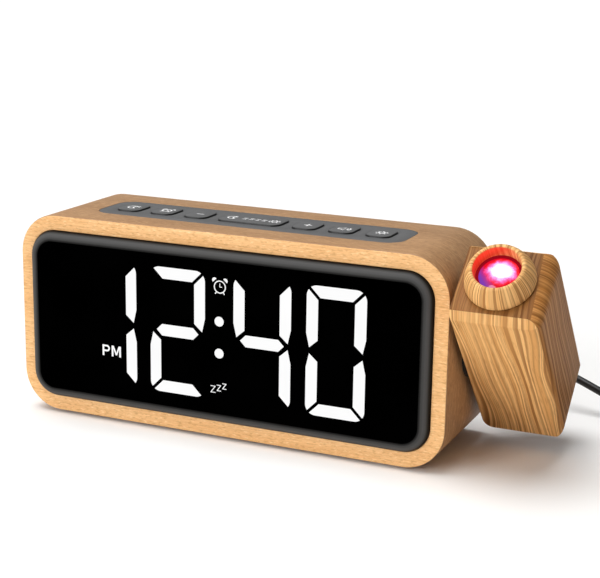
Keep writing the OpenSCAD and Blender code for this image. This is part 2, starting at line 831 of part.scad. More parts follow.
// Seen from the side: a flat bevel at the front of the top, the other three edges round
module head_side() {
    difference() {
        rounded_rect(head_d, head_h, head_edge);
        translate([-head_d / 2, head_h / 2 - head_edge]) rotate(45) translate([-1, 0]) square(3 * head_edge);
    }
}

// Seen from the front: round outer corners, a bigger round toe at the bottom towards the case
module head_front() {
    h = head_h / 2;
    toe = [head_x0 + head_toe_r, head_toe_r - h];
    outer = [head_x1 - head_outer_r, h - head_outer_r];
    translate(toe) circle(r = head_toe_r);
    for (s = [-1, 1]) translate([outer[0], s * outer[1]]) circle(r = head_outer_r);
    polygon([[head_x0, h], [outer[0], h], [head_x1, outer[1]], [head_x1, -outer[1]],
        [outer[0], -h], [toe[0], -h], toe, [head_x0, toe[1]]]);
}

module head_solid() {
    intersection() {
        translate([0, 0, -head_h / 2]) linear_extrude(head_h) head_plan(0);
        between_x(head_x0 - 1, head_x1 + 1) head_side();
        between_y(-head_d / 2 - 1, head_d / 2 + 1) head_front();
    }
}

module head_hollow() {
    rounded_rect(head_d - 2 * head_wall, 2 * head_inside_z, 1);
}

// The opening towards the case ends where the round toe begins
module head_mouth(gap) {
    translate([0, (head_mouth_z[0] + head_mouth_z[1]) / 2])
        rounded_rect(head_d - 2 * head_wall - 2 * gap, head_mouth_z[1] - head_mouth_z[0] - 2 * gap, 2);
}

module head_shell() {
    color("peru") in_head() difference() {
        union() {
            difference() {
                head_solid();
                between_x(head_x0 + 4, head_x1 - head_wall) head_hollow();
                between_x(head_x0 - 1, head_x0 + 4.1) head_mouth(0);
            }
            for (sy = [-1, 1], z = head_screw_z)
                translate([0, sy * head_screw_y, z])
                    rod_x(head_x0 + head_cover_t + 0.05, head_x0 + 5.8, 2.8);
            translate([board_corner[0] + 20, board_corner[1] + 3, board_corner[2] - 2.05])
                cube([head_x1 - head_wall - board_corner[0] - 19.5, 16, 2]);
        }
        for (sy = [-1, 1], z = head_screw_z)
            translate([0, sy * head_screw_y, z])
                rod_x(head_x0, head_x0 + 5.4, 1.15);
        translate([nozzle_x, nozzle_y, head_inside_z - 5]) cylinder(h = head_h, r = shank_r + shank_gap);
    }
}

module head_cover() {
    color("saddlebrown") difference() {
        in_head() difference() {
            between_x(head_x0, head_x0 + head_cover_t) head_mouth(0.1);
            for (sy = [-1, 1], z = head_screw_z)
                translate([0, sy * head_screw_y, z]) {
                    rod_x(head_x0 - 1, head_x0 + 5, 1.3);
                    rod_x(head_x0 - 1, head_x0 + 1, 2.1);
                }
        }
        on_pivot() rod_x(head_x0 - 1, head_x0 + 5, shaft_r);
    }
}

module head_screws() {
    color("silver") in_head() for (sy = [-1, 1], z = head_screw_z)
        translate([head_x0 + 1, sy * head_screw_y, z]) rotate([0, 0, 90])
            difference() {
                union() {
                    rod_y(-4.2, 0.1, 1.1);
                    rod_y(0, 0.9, 1.9);
                }
                translate([0, 0.9, 0]) cube([3, 0.8, 0.6], center = true);
            }
}

// ---- Nozzle and optics ----

module focus_ring() {
    top = head_h / 2;
    color("peru") on_nozzle() difference() {
        union() {
            translate([0, 0, top + seam]) rotate_extrude() polygon([
                [0, 0], [nozzle_foot_r, 0], [nozzle_foot_r - 0.25, 1.4],
                [nozzle_rim_r + 0.3, nozzle_h - seam - 1], [nozzle_rim_r - 0.5, nozzle_h - seam],
                [0, nozzle_h - seam]]);
            translate([0, 0, top - 12]) cylinder(h = 12 + seam + 0.1, r = shank_r);
        }
        translate([0, 0, top - 13]) cylinder(h = nozzle_h + 15, r = mouth_r);
        translate([0, 0, top - 13]) cylinder(h = 13, r = barrel_r + barrel_gap);
        translate([0, 0, top + nozzle_h - 0.6]) cylinder(h = 0.61, r1 = mouth_r - 0.01, r2 = mouth_r + 0.6);
    }
}

module focus_retainer() {
    color("silver") on_nozzle() translate([0, 0, head_h / 2 - head_edge - head_wall - 1.7]) difference() {
        cylinder(h = 1.6, r = shank_r + 0.7);
        translate([0, 0, -1]) cylinder(h = 4, r = shank_r);
    }
}

// A wide body in the nozzle's bore, and a neck that holds the lens just inside the mouth
module lens_barrel() {
    color("black") on_nozzle() difference() {
        union() {
            translate([0, 0, shoulder_z - barrel_l]) cylinder(h = barrel_l, r = barrel_r);
            translate([0, 0, shoulder_z - 1]) cylinder(h = neck_l + 1, r = neck_r);
        }
        translate([0, 0, shoulder_z - barrel_l - 1]) cylinder(h = barrel_l + neck_l + 2, r = 7.2);
        translate([0, 0, lens_z - 0.05]) cylinder(h = 5, r = lens_r + 0.05);
    }
}

module projection_lens() {
    ball_r = (lens_r * lens_r + lens_bulge * lens_bulge) / (2 * lens_bulge);
    color("lightblue", 0.5) on_nozzle() translate([0, 0, lens_z]) {
        cylinder(h = lens_edge, r = lens_r);
        translate([0, 0, lens_edge - 0.01]) intersection() {
            translate([0, 0, lens_bulge - ball_r]) sphere(r = ball_r);
            cylinder(h = lens_bulge + 1, r = lens_clear_r);
        }
    }
}

module lens_retainer() {
    color("black") on_nozzle() translate([0, 0, shoulder_z + neck_l - lens_ring_t]) difference() {
        cylinder(h = lens_ring_t, r = lens_r);
        translate([0, 0, -1]) cylinder(h = 3, r = lens_clear_r + 0.05);
    }
}

module optics_tube() {
    color("dimgray") in_head() {
        difference() {
            union() {
                translate([nozzle_x, nozzle_y, tube_z[0]]) cylinder(h = tube_z[1] - tube_z[0], r = tube_r);
                translate([head_x0 + head_cover_t + 0.05, nozzle_y - 6, 10]) cube([6, 12, tube_z[1] - 10]);
            }
            translate([nozzle_x, nozzle_y, tube_z[0] - 1]) cylinder(h = tube_z[1] - tube_z[0] + 2, r = tube_bore_r);
        }
    }
}

module image_slide() {
    color("darkslategray") on_nozzle() translate([0, 0, 14.5]) cube([12, 12, 1], center = true);
}

module condenser_lens() {
    color("lightblue", 0.5) on_nozzle() translate([0, 0, 5]) {
        cylinder(h = 1.6, r = tube_bore_r - 0.05);
        translate([0, 0, 1.59]) intersection() {
            translate([0, 0, 3 - 13.2]) sphere(r = 13.2);
            cylinder(h = 4, r = tube_bore_r - 0.05);
        }
    }
}

module projector_led() {
    color("red") on_nozzle() translate([0, 0, -7.1]) {
        cylinder(h = 1, r = 2.9);
        cylinder(h = 5.6, r = 2.5);
        translate([0, 0, 5.6]) sphere(r = 2.5);
    }
}

module projector_board() {
    color("darkgreen") in_head() translate(board_corner) cube([22, 22, 1.2]);
}

module head_cable() {
    end_x = nozzle_x - 6.5;
    color("black") in_head() translate([0, -head_back, -head_up]) {
        rod_x(72, end_x, cable_r);
        translate([end_x, 0, 0]) sphere(r = cable_r);
        translate([end_x, 0, -4.85]) cylinder(h = 4.85, r = cable_r);
    }
}

// ---- Power cord ----

module dc_plug() {
    color("black") translate([socket_x, 0, socket_z]) difference() {
        union() {
            rod_y(cover_y1 - 9.5, cover_y1 + 1, socket_bore_r - 0.1);
            rod_y(cover_y1 + 0.1, cover_y1 + plug_l + 0.1, plug_r);
            for (i = [0:4])
                translate([0, cover_y1 + 3 + i * 2.2, 0]) rod_y(0, 1, plug_r + 0.25);
        }
        rod_y(cover_y1 - 11, cover_y1 - 1, 1.05);
    }
}

module plug_boot() {
    y0 = cover_y1 + plug_l + 0.1;
    color("black") translate([socket_x, 0, socket_z]) {
        rod_y(y0, y0 + 2, 3.9);
        translate([0, y0 + 2, 0]) rotate([-90, 0, 0]) rotate_extrude()
            polygon([[0, 0], [3.6, 0], [2.3, boot_l - 2], [0, boot_l - 2]]);
        for (i = [0:2])
            translate([0, y0 + 3.6 + i * 2.6, 0]) rod_y(0, 1.2, 3.7 - 0.38 * i);
    }
}

module power_cord() {
    color("black") tube(cord_route, cord_r, cord_sides);
}

module cord_coil() {
    color("black") tube(coil_path, cord_r, coil_sides);
}

module cord_tail() {
    color("black") tube(tail_route, cord_r, cord_sides);
}

module usb_plug() {
    color("black") translate([tail_x, usb_y, usb_z]) {
        between_y(-usb_body[1], -7) rounded_rect(usb_body[0], usb_body[2], 1.6);
        between_y(-7.5, -5) rounded_rect(usb_body[0] - 4, usb_body[2] - 1, 1.6);
        between_y(-5.5, 0) rounded_rect(5.6, 5.2, 2.2);
    }
}

module usb_shell() {
    w = usb_shell_size[0];
    h = usb_shell_size[2];
    y1 = usb_y - usb_body[1];
    color("silver") translate([tail_x, 0, usb_z]) difference() {
        between_y(y1 - usb_shell_size[1], y1) square([w, h], center = true);
        between_y(y1 - usb_shell_size[1] - 1, y1 - 1) difference() {
            square([w - 0.7, h - 0.7], center = true);
            translate([0, 0.9]) square([w - 1.2, 1.9], center = true);
        }
        for (sx = [-1, 1])
            translate([sx * 2.6, y1 - usb_shell_size[1] + 7, h / 2]) cube([2.2, 2.4, 1.2], center = true);
    }
}

module cord_tie() {
    r0 = coil_in_r - cord_r - 0.6;
    r1 = coil_out_r + cord_r + 0.6;
    z1 = tail_z + cord_r + 0.5;
    color("black") translate([coil_c[0], coil_c[1], 0]) rotate([0, 0, 225])
        between_y(-tie_w / 2, tie_w / 2) translate([(r0 + r1) / 2, z1 / 2 + 0.02]) difference() {
            rounded_rect(r1 - r0, z1, 1.4);
            rounded_rect(r1 - r0 - 2 * tie_t, z1 - 2 * tie_t, 1);
        }
}

case_sleeve();
foot_pad();
front_panel();
digit_lights();
colon_lights();
mark_lights();
diffuser_film();
segment_reflector();
display_board();
display_leds();
main_board();
board_chips();
cable_socket();
board_screws();
speaker();
rear_cover();
rear_screws();
battery_door();
coin_cell();
cell_holder();
dc_socket();
key_strip();
key_sleep();
key_alarm();
key_minus();
key_snooze();
key_plus();
key_sound();
key_light();
key_mat();
key_board();
key_switches();
pivot_bush();
pivot_shaft();
pivot_washer();
pivot_spring();
pivot_clip();
head_shell();
head_cover();
head_screws();
focus_ring();
focus_retainer();
lens_barrel();
projection_lens();
lens_retainer();
optics_tube();
image_slide();
condenser_lens();
projector_led();
projector_board();
head_cable();
dc_plug();
plug_boot();
power_cord();
cord_coil();
cord_tail();
usb_plug();
usb_shell();
cord_tie();
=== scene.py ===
import bpy
import bmesh
from math import asin, atan2, copysign, cos, hypot, pi, radians, sin, sqrt
from mathutils import Matrix, Vector


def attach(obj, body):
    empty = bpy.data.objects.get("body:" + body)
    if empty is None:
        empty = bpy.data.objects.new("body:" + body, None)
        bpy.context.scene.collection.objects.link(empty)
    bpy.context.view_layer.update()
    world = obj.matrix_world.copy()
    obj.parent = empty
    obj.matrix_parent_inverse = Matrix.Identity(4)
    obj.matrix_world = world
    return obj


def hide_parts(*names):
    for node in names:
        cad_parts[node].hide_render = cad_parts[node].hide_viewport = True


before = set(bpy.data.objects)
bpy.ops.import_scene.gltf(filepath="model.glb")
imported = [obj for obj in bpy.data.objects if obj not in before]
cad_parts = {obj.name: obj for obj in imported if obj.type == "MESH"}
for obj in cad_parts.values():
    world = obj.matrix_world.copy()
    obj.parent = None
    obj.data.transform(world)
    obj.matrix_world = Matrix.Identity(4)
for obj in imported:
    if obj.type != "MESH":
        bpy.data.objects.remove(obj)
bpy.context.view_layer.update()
print("frame loaded")

mm = 0.001

# Everything is in metres: the case's footprint is centred on the origin, +X right, +Y back, +Z up
case = {
    "width": 190 * mm, "height": 85 * mm, "depth": 57 * mm, "radius": 17 * mm, "foot": 1 * mm,
    "softEdge": 0.5 * mm, "cornerSteps": 14, "wall": 1 * mm, "frontLip": 5 * mm, "backRim": 3 * mm,
    "backLip": 12 * mm}
caseMid = case["foot"] + case["height"] / 2
caseTop = case["foot"] + case["height"]
caseFront = -case["depth"] / 2
caseBack = case["depth"] / 2


# Helpers for shapes

def newObject(name, data):
    obj = bpy.data.objects.new(name, data)
    bpy.context.scene.collection.objects.link(obj)
    return obj


def smooth(mesh, angle):
    mesh.shade_smooth()
    mesh.set_sharp_from_angle(angle=radians(angle))


def toPiece(name, bm, materials, body, smoothAngle=40):
    mesh = bpy.data.meshes.new(name)
    bm.to_mesh(mesh)
    bm.free()
    piece = newObject(name, mesh)
    for material in materials:
        mesh.materials.append(material)
    smooth(mesh, smoothAngle)
    if body:
        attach(piece, body)
    return piece


def newCurve(name, radius, roundness):
    curve = bpy.data.curves.new(name, "CURVE")
    curve.dimensions = "3D"
    curve.bevel_depth = radius
    curve.bevel_resolution = roundness
    curve.use_fill_caps = True
    return curve


def addModifier(piece, kind, **settings):
    modifier = piece.modifiers.new(kind.lower(), kind)
    for key, value in settings.items():
        setattr(modifier, key, value)


def bakeModifiers(piece, smoothAngle=40):
    # Leaves the piece with the shape that its modifiers give it
    graph = bpy.context.evaluated_depsgraph_get()
    baked = bpy.data.meshes.new_from_object(piece.evaluated_get(graph))
    piece.modifiers.clear()
    piece.data = baked
    smooth(baked, smoothAngle)


def newVerts(out):
    return [g for g in out["geom"] if isinstance(g, bmesh.types.BMVert)]


def moveAll(bm, matrix):
    bmesh.ops.transform(bm, matrix=matrix, verts=bm.verts)


def numberLayers(bm, *names):
    for name in names:
        bm.verts.layers.float.new(name)
    return [bm.verts.layers.float[name] for name in names]


def turnOut(bm):
    bmesh.ops.recalc_face_normals(bm, faces=bm.faces)


def roundedFace(bm, width, height, radii, steps=12, place=Matrix()):
    # One flat face, drawn in XY and then placed. Radii and steps are one number for all four corners,
    # or a list that runs anticlockwise from the lower left.
    radii, steps = (v if isinstance(v, list) else [v] * 4 for v in (radii, steps))
    corners = bmesh.ops.create_grid(bm, x_segments=1, y_segments=1, size=0.5)["verts"]
    bmesh.ops.scale(bm, vec=(width, height, 1), verts=corners)
    order = sorted(corners, key=lambda v: atan2(v.co.y, v.co.x))
    made = set(corners)
    for corner, radius, segments in zip(order, radii, steps):
        if radius > 0:
            out = bmesh.ops.bevel(
                bm, geom=[corner], offset=radius, offset_type="OFFSET", segments=segments, profile=0.5,
                affect="VERTICES", material=-1)
            made.update(out["verts"])
    verts = {v for v in made if v.is_valid}
    face = next(f for f in bm.faces if f.is_valid and set(f.verts) <= verts)
    bmesh.ops.transform(bm, matrix=place, verts=list(face.verts))
    return face


def at(x, y, z):
    return Matrix.Translation((x, y, z))


def standUp(y, x=0, z=0):
    # Turns a drawing in XY to stand in XZ, facing the front
    return at(x, y, z) @ Matrix.Rotation(pi / 2, 4, "X")


def standSideways(x, z=0):
    # Turns a drawing in XY to stand in YZ
    return at(x, 0, z) @ Matrix.Rotation(pi / 2, 4, "Z") @ Matrix.Rotation(pi / 2, 4, "X")


def towardsBack(x, y, z):
    # Lays a shape that was spun about Z along +Y
    return at(x, y, z) @ Matrix.Rotation(-pi / 2, 4, "X")


def frontFace(bm):
    return min(bm.faces, key=lambda f: (round(f.calc_center_median().y, 6), -f.calc_area()))


def insetFaces(bm, faces, thickness, depth=0):
    bmesh.ops.inset_region(bm, faces=faces, thickness=thickness, depth=depth, use_even_offset=True)


def openFace(bm, face):
    # Takes the face away and keeps its edges
    edges = list(face.edges)
    bmesh.ops.delete(bm, geom=[face], context="FACES_ONLY")
    return edges


def edgesAt(bm, axis, value):
    return [e for e in bm.edges if all(abs(v.co[axis] - value) < 1e-6 for v in e.verts)]


def sweepFace(bm, face, move):
    # Makes a solid from a flat face
    moved = newVerts(bmesh.ops.extrude_face_region(bm, geom=[face], use_keep_orig=True))
    bmesh.ops.translate(bm, vec=move, verts=moved)
    turnOut(bm)
    return moved


def extrudeLoop(bm, edges, move):
    bmesh.ops.translate(bm, vec=move, verts=newVerts(bmesh.ops.extrude_edge_only(bm, edges=edges)))


def softenEdges(bm, edges, width, steps=3):
    bmesh.ops.bevel(
        bm, geom=edges, offset=width, offset_type="OFFSET", segments=steps, profile=0.5,
        affect="EDGES", clamp_overlap=True, material=-1)


def boxAt(bm, size, middle):
    out = bmesh.ops.create_cube(bm, size=1)
    bmesh.ops.scale(bm, vec=size, verts=out["verts"])
    bmesh.ops.translate(bm, vec=middle, verts=out["verts"])


def spunRing(bm, profile, steps=64, closed=False):
    # The profile is a list of (radius, height) about the Z axis
    verts = [bm.verts.new((radius, 0, height)) for radius, height in profile]
    edges = [bm.edges.new(pair) for pair in zip(verts, verts[1:])]
    if closed:
        edges.append(bm.edges.new((verts[-1], verts[0])))
    bmesh.ops.spin(
        bm, geom=verts + edges, cent=(0, 0, 0), axis=(0, 0, 1), angle=2 * pi, steps=steps,
        use_merge=True, use_duplicate=False)
    bmesh.ops.remove_doubles(bm, verts=bm.verts, dist=1e-6)
    turnOut(bm)


def combine(piece, bm, how):
    cutter = toPiece("cutter", bm, [], None)
    addModifier(piece, "BOOLEAN", operation=how, solver="EXACT", object=cutter)
    bpy.context.evaluated_depsgraph_get().update()
    bakeModifiers(piece)
    bpy.data.objects.remove(cutter)


# The camera that matches the photo

camera = {
    "place": (256.3 * mm, -534.3 * mm, 205.7 * mm), "yaw": 23.75, "pitch": 14.06, "roll": 0.88,
    "lens": 87.8, "film": 36}


def makeCamera():
    yaw, pitch, roll = (radians(camera[k]) for k in ("yaw", "pitch", "roll"))
    ahead = Vector((-sin(yaw) * cos(pitch), cos(yaw) * cos(pitch), -sin(pitch)))
    right = Vector((cos(yaw), sin(yaw), 0))
    up = right.cross(ahead)
    tiltedRight = right * cos(roll) + up * sin(roll)
    tiltedUp = up * cos(roll) - right * sin(roll)
    data = bpy.data.cameras.new("camera")
    data.lens = camera["lens"]
    data.sensor_width = camera["film"]
    data.sensor_fit = "HORIZONTAL"
    data.clip_start = 0.01
    obj = newObject("camera", data)
    turn = Matrix((tiltedRight, tiltedUp, -ahead)).transposed().to_4x4()
    obj.matrix_world = Matrix.Translation(camera["place"]) @ turn
    bpy.context.scene.camera = obj


# The cord: down from the back to the surface, then a neat coil in layers, and a tail to its plug
cord = {
    "diameter": 3.4 * mm, "coilRadius": 24.2 * mm, "turnPitch": 4.3 * mm, "layerPitch": 4.2 * mm,
    "layers": 4, "spiralTurns": 2.4375, "climbTurns": 0.5, "pointsPerTurn": 36,
    "coilX": 170 * mm, "coilY": 45.3 * mm, "floorZ": 2.2 * mm, "socketX": 62 * mm, "socketZ": 26 * mm,
    "exitY": 27.5 * mm, "plugLength": 15 * mm, "bootLength": 12 * mm, "plugY": 8 * mm, "plugZ": 4 * mm}
bootTip = cord["exitY"] + cord["plugLength"] + cord["bootLength"] + 0.1 * mm
coilTopZ = cord["floorZ"] + (cord["layers"] - 1) * cord["layerPitch"]
tailX = cord["coilX"] + cord["coilRadius"]

# Its route in millimetres from the boot to the coil, the same as in the part
cordRoute = [
    (62, 54.6, 26), (62, 58, 26), (62.6, 63, 25.9), (65, 68.4, 25.6), (69.2, 73, 25),
    (75, 76.2, 24.2), (82, 77.8, 23.2), (90, 78, 22), (98, 77.2, 20.6), (106, 76, 18.9),
    (114, 74.4, 16.9), (122, 72.6, 14.6), (130, 71, 11.9), (138, 69.8, 8.9), (146, 69.2, 5.9),
    (153, 69.2, 3.7), (159.6, 69.4, 2.4), (163.2, 69.5, 2.2), (166.6, 69.5, 2.2)]


def coilPoint(turn):
    phase = cord["spiralTurns"] + cord["climbTurns"]
    layer = min(cord["layers"] - 1, int(turn / phase))
    along = turn - layer * phase
    wound = min(along, cord["spiralTurns"]) * cord["turnPitch"]
    inner = cord["coilRadius"] - cord["spiralTurns"] * cord["turnPitch"]
    radius = cord["coilRadius"] - wound if layer % 2 == 0 else inner + wound
    climbed = max(0, along - cord["spiralTurns"]) / cord["climbTurns"]
    angle = pi / 2 - 2 * pi * turn
    return (
        cord["coilX"] + radius * cos(angle), cord["coilY"] + radius * sin(angle),
        cord["floorZ"] + cord["layerPitch"] * (layer + climbed))


def cordPoints():
    points = [tuple(c * mm for c in p) for p in cordRoute]
    turns = cord["layers"] * cord["spiralTurns"] + (cord["layers"] - 1) * cord["climbTurns"]
    steps = round(turns * cord["pointsPerTurn"])
    points += [coilPoint(turns * i / steps) for i in range(steps + 1)]
    d = cord["diameter"]
    points += [
        (tailX, cord["coilY"] - d, coilTopZ), (tailX, cord["coilY"] - 2 * d, coilTopZ),
        (tailX, 33.5 * mm, coilTopZ - 0.9 * mm), (tailX, 28.5 * mm, 11.2 * mm),
        (tailX, 23.5 * mm, 8 * mm), (tailX, 18.5 * mm, 5.3 * mm),
        (tailX, cord["plugY"] + 2 * d, cord["plugZ"] + 0.2 * mm), (tailX, cord["plugY"] + d, cord["plugZ"]),
        (tailX, cord["plugY"], cord["plugZ"])]
    return points


def makeCord(material):
    points = cordPoints()
    curve = newCurve("powerCord", cord["diameter"] / 2, 3)
    curve.resolution_u = 3
    spline = curve.splines.new("BEZIER")
    spline.bezier_points.add(len(points) - 1)
    for knot, place in zip(spline.bezier_points, points):
        knot.co = place
        knot.handle_left_type = "AUTO"
        knot.handle_right_type = "AUTO"
    piece = newObject("powerCord", curve)
    curve.materials.append(material)
    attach(piece, "case")
    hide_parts("power_cord", "cord_coil", "cord_tail")
    return piece


# The gripped plug at the case, with its tapered boot
dcPlug = {
    "reach": 9.5 * mm, "barrel": 2.75 * mm, "grip": 4.8 * mm, "soft": 0.6 * mm, "shoulder": 0.9 * mm,
    "rib": 0.3 * mm, "ribs": 5, "ribStart": 3 * mm, "ribPitch": 2.2 * mm, "rings": 4, "ringStart": 0.5 * mm,
    "ringPitch": 2.8 * mm, "ringRadius": 3.75 * mm, "ringTaper": 0.4 * mm, "groove": 0.55 * mm, "tip": 2 * mm}


def makeDcPlug(material):
    back = cord["exitY"]
    y0 = back + 0.1 * mm
    grip, rib = dcPlug["grip"], dcPlug["grip"] + dcPlug["rib"]
    profile = [
        (0, back - dcPlug["reach"]), (dcPlug["barrel"], back - dcPlug["reach"]), (dcPlug["barrel"], y0),
        (grip - dcPlug["soft"], y0), (grip, y0 + dcPlug["soft"])]
    for i in range(dcPlug["ribs"]):
        y = back + dcPlug["ribStart"] + i * dcPlug["ribPitch"]
        profile += [(grip, y - 0.15 * mm), (rib, y + 0.15 * mm), (rib, y + 0.85 * mm), (grip, y + 1.15 * mm)]
    end = back + cord["plugLength"]
    profile += [(grip, end - dcPlug["shoulder"]), (grip - dcPlug["shoulder"], end + 0.1 * mm)]
    for i in range(dcPlug["rings"]):
        radius = dcPlug["ringRadius"] - i * dcPlug["ringTaper"]
        groove = radius - dcPlug["groove"]
        y = end + dcPlug["ringStart"] + i * dcPlug["ringPitch"]
        profile += [(radius, y), (radius, y + 1.7 * mm), (groove, y + 1.9 * mm), (groove, y + 2.6 * mm)]
    profile += [(dcPlug["tip"], bootTip), (0, bootTip)]
    bm = bmesh.new()
    spunRing(bm, profile, 40)
    moveAll(bm, towardsBack(cord["socketX"], 0, cord["socketZ"]))
    turnOut(bm)
    piece = toPiece("dcPlugAndBoot", bm, [material], "case")
    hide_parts("dc_plug", "plug_boot")
    return piece


usb = {
    "width": 15.4 * mm, "length": 24 * mm, "height": 7.8 * mm, "corner": 1.6 * mm, "soft": 0.7 * mm,
    "grip": 17 * mm, "nose": 2.2 * mm, "shell": (12 * mm, 18.6 * mm, 4.5 * mm), "metal": 0.35 * mm,
    "latch": (2.2 * mm, 2.4 * mm, 0.6 * mm), "latchX": 2.6 * mm, "latchY": 7 * mm, "tongue": 1.8 * mm}
# The sleeve where the cord goes in, in millimetres
usbSleeve = [
    (0, -6), (2.9, -6), (2.9, -3.4), (2.5, -3.1), (2.7, -2.7), (2.6, -1.4), (2.25, -1.1), (2.4, -0.7),
    (2.2, 0), (0, 0)]


def makeUsbGrip(rubber):
    bm = bmesh.new()
    base = roundedFace(bm, usb["width"], usb["height"], usb["corner"], 6, standUp(0))
    sweepFace(bm, base, (0, usb["grip"], 0))
    softenEdges(bm, [e for e in bm.edges if e.calc_face_angle(0) > 1.2], usb["soft"], 3)
    far = max(bm.faces, key=lambda f: (round(f.calc_center_median().y, 6), f.calc_area()))
    insetFaces(bm, [far], usb["soft"])
    insetFaces(bm, [far], 0, usb["nose"])
    moveAll(bm, at(tailX, cord["plugY"] - usb["length"], cord["plugZ"]))
    turnOut(bm)
    grip = toPiece("usbGrip", bm, [rubber], "case")
    bm = bmesh.new()
    spunRing(bm, [(radius * mm, height * mm) for radius, height in usbSleeve], 32)
    moveAll(bm, towardsBack(tailX, cord["plugY"], cord["plugZ"]))
    turnOut(bm)
    sleeve = toPiece("usbSleeve", bm, [rubber], "case")
    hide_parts("usb_plug")
    return [grip, sleeve]


def makeUsbShell(rubber, steel):
    # The metal shell, open at its end, with its two latch holes and the tongue inside
    width, length, height = usb["shell"]
    mouthY = cord["plugY"] - usb["length"] - length
    bm = bmesh.new()
    sweepFace(bm, roundedFace(bm, width, height, 0.4 * mm, 4, standUp(0)), (0, length, 0))
    insetFaces(bm, [frontFace(bm)], usb["metal"])
    mouth = frontFace(bm)
    deep = bmesh.ops.extrude_face_region(bm, geom=[mouth])
    bmesh.ops.translate(bm, vec=(0, length - 2 * mm, 0), verts=newVerts(deep))
    bmesh.ops.delete(bm, geom=[mouth], context="FACES")
    moveAll(bm, at(tailX, mouthY, cord["plugZ"]))
    turnOut(bm)
    shell = toPiece("usbShell", bm, [steel], "case")
    for side in (-1, 1):
        bm = bmesh.new()
        spot = (tailX + side * usb["latchX"], mouthY + usb["latchY"], cord["plugZ"] + height / 2)
        boxAt(bm, usb["latch"], spot)
        combine(shell, bm, "DIFFERENCE")
    bm = bmesh.new()
    boxAt(bm, (width - 1.4 * mm, length - 3 * mm, usb["tongue"]), (0, 0, 0))
    softenEdges(bm, bm.edges[:], 0.15 * mm, 2)
    moveAll(bm, at(tailX, mouthY + length / 2 + 0.8 * mm, cord["plugZ"] + 0.95 * mm))
    tongue = toPiece("usbTongue", bm, [rubber], "case")
    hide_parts("usb_shell")
    return [shell, tongue]


# A hook-and-loop strap round the coil
tie = {
    "width": 6 * mm, "thickness": 0.5 * mm, "angle": 225, "corner": 1.4 * mm, "room": 0.6 * mm,
    "offFloor": 0.02 * mm}


def makeTie(material):
    half = cord["diameter"] / 2
    inner = cord["coilRadius"] - cord["spiralTurns"] * cord["turnPitch"] - half - tie["room"]
    outer = cord["coilRadius"] + half + tie["room"]
    top = coilTopZ + half + tie["thickness"]
    bm = bmesh.new()
    loop = openFace(bm, roundedFace(bm, outer - inner, top, tie["corner"], 5))
    extrudeLoop(bm, loop, (0, 0, tie["width"]))
    turnOut(bm)
    bmesh.ops.solidify(bm, geom=bm.faces[:], thickness=tie["thickness"])
    moveAll(bm, at((inner + outer) / 2, top / 2 + tie["offFloor"], -tie["width"] / 2))
    turn = Matrix.Rotation(radians(tie["angle"]), 4, "Z") @ Matrix.Rotation(pi / 2, 4, "X")
    moveAll(bm, at(cord["coilX"], cord["coilY"], 0) @ turn)
    turnOut(bm)
    piece = toPiece("cordTie", bm, [material], "case")
    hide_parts("cord_tie")
    return piece


# Helpers for materials

def startMaterial(name, color, roughness, specular=0.5, metallic=0.0):
    material = bpy.data.materials.new(name)
    material.use_nodes = True
    tree = material.node_tree
    shader = tree.nodes["Principled BSDF"]
    values = {
        "Base Color": color, "Roughness": roughness, "Specular IOR Level": specular, "Metallic": metallic}
    for socket, value in values.items():
        fill(tree, shader.inputs[socket], value)
    return material, tree, shader


def fill(tree, socket, value):
    # A socket takes a link, a number or a colour
    if isinstance(value, bpy.types.NodeSocket):
        tree.links.new(value, socket)
    elif socket.type == "RGBA" and len(value) == 3:
        socket.default_value = (*value, 1)
    else:
        socket.default_value = value


def addNode(tree, kind, settings=None, **inputs):
    node = tree.nodes.new("ShaderNode" + kind)
    for key, value in (settings or {}).items():
        setattr(node, key, value)
    for key, value in inputs.items():
        fill(tree, node.inputs[key.replace("_", " ")], value)
    return node


def maths(tree, operation, *values):
    node = addNode(tree, "Math", {"operation": operation})
    for socket, value in zip(node.inputs, values):
        fill(tree, socket, value)
    return node.outputs[0]


def attribute(tree, name):
    return addNode(tree, "Attribute", {"attribute_name": name}).outputs["Fac"]


def stretched(tree, coordinates, scale, turn=(0, 0, 0), shift=(0, 0, 0)):
    source = addNode(tree, "TexCoord").outputs[coordinates]
    mapping = addNode(tree, "Mapping", Vector=source, Scale=scale, Rotation=turn, Location=shift)
    return mapping.outputs["Vector"]


def noise(tree, coordinates, scale, detail=2.0, rough=0.5, distortion=0.0, shift=(0, 0, 0)):
    # The scale is one number, or one for each direction
    vector = stretched(tree, coordinates, scale if isinstance(scale, tuple) else (scale,) * 3, shift=shift)
    node = addNode(
        tree, "TexNoise", Vector=vector, Scale=1.0, Detail=detail, Roughness=rough, Distortion=distortion)
    return node.outputs["Fac"]


def ramp(tree, value, stops):
    # A stop has a place and a colour, or one number for a grey
    node = addNode(tree, "ValToRGB", Fac=value)
    elements = node.color_ramp.elements
    while len(elements) < len(stops):
        elements.new(0.5)
    for element, (place, color) in zip(elements, stops):
        element.position = place
        element.color = (*color, 1) if isinstance(color, tuple) else (color, color, color, 1)
    return node.outputs["Color"]


def drive(tree, shader, socket, value, stops):
    # Runs a value through a ramp into one of the shader's sockets
    tree.links.new(ramp(tree, value, stops), shader.inputs[socket])


def tinted(color, amount):
    return tuple(min(1, c * amount) for c in color)


def mixColor(tree, factor, first, second, how="MIX"):
    node = addNode(tree, "Mix", {"data_type": "RGBA", "blend_type": how})
    for index, value in ((0, factor), (6, first), (7, second)):  # the Mix node's colour sockets
        fill(tree, node.inputs[index], value)
    return node.outputs[2]


def mixShaders(tree, factor, first, second, out):
    either = addNode(tree, "MixShader")
    for socket, value in zip(either.inputs, (factor, first.outputs[0], second.outputs[0])):
        tree.links.new(value, socket)
    tree.links.new(either.outputs[0], out.inputs["Surface"])


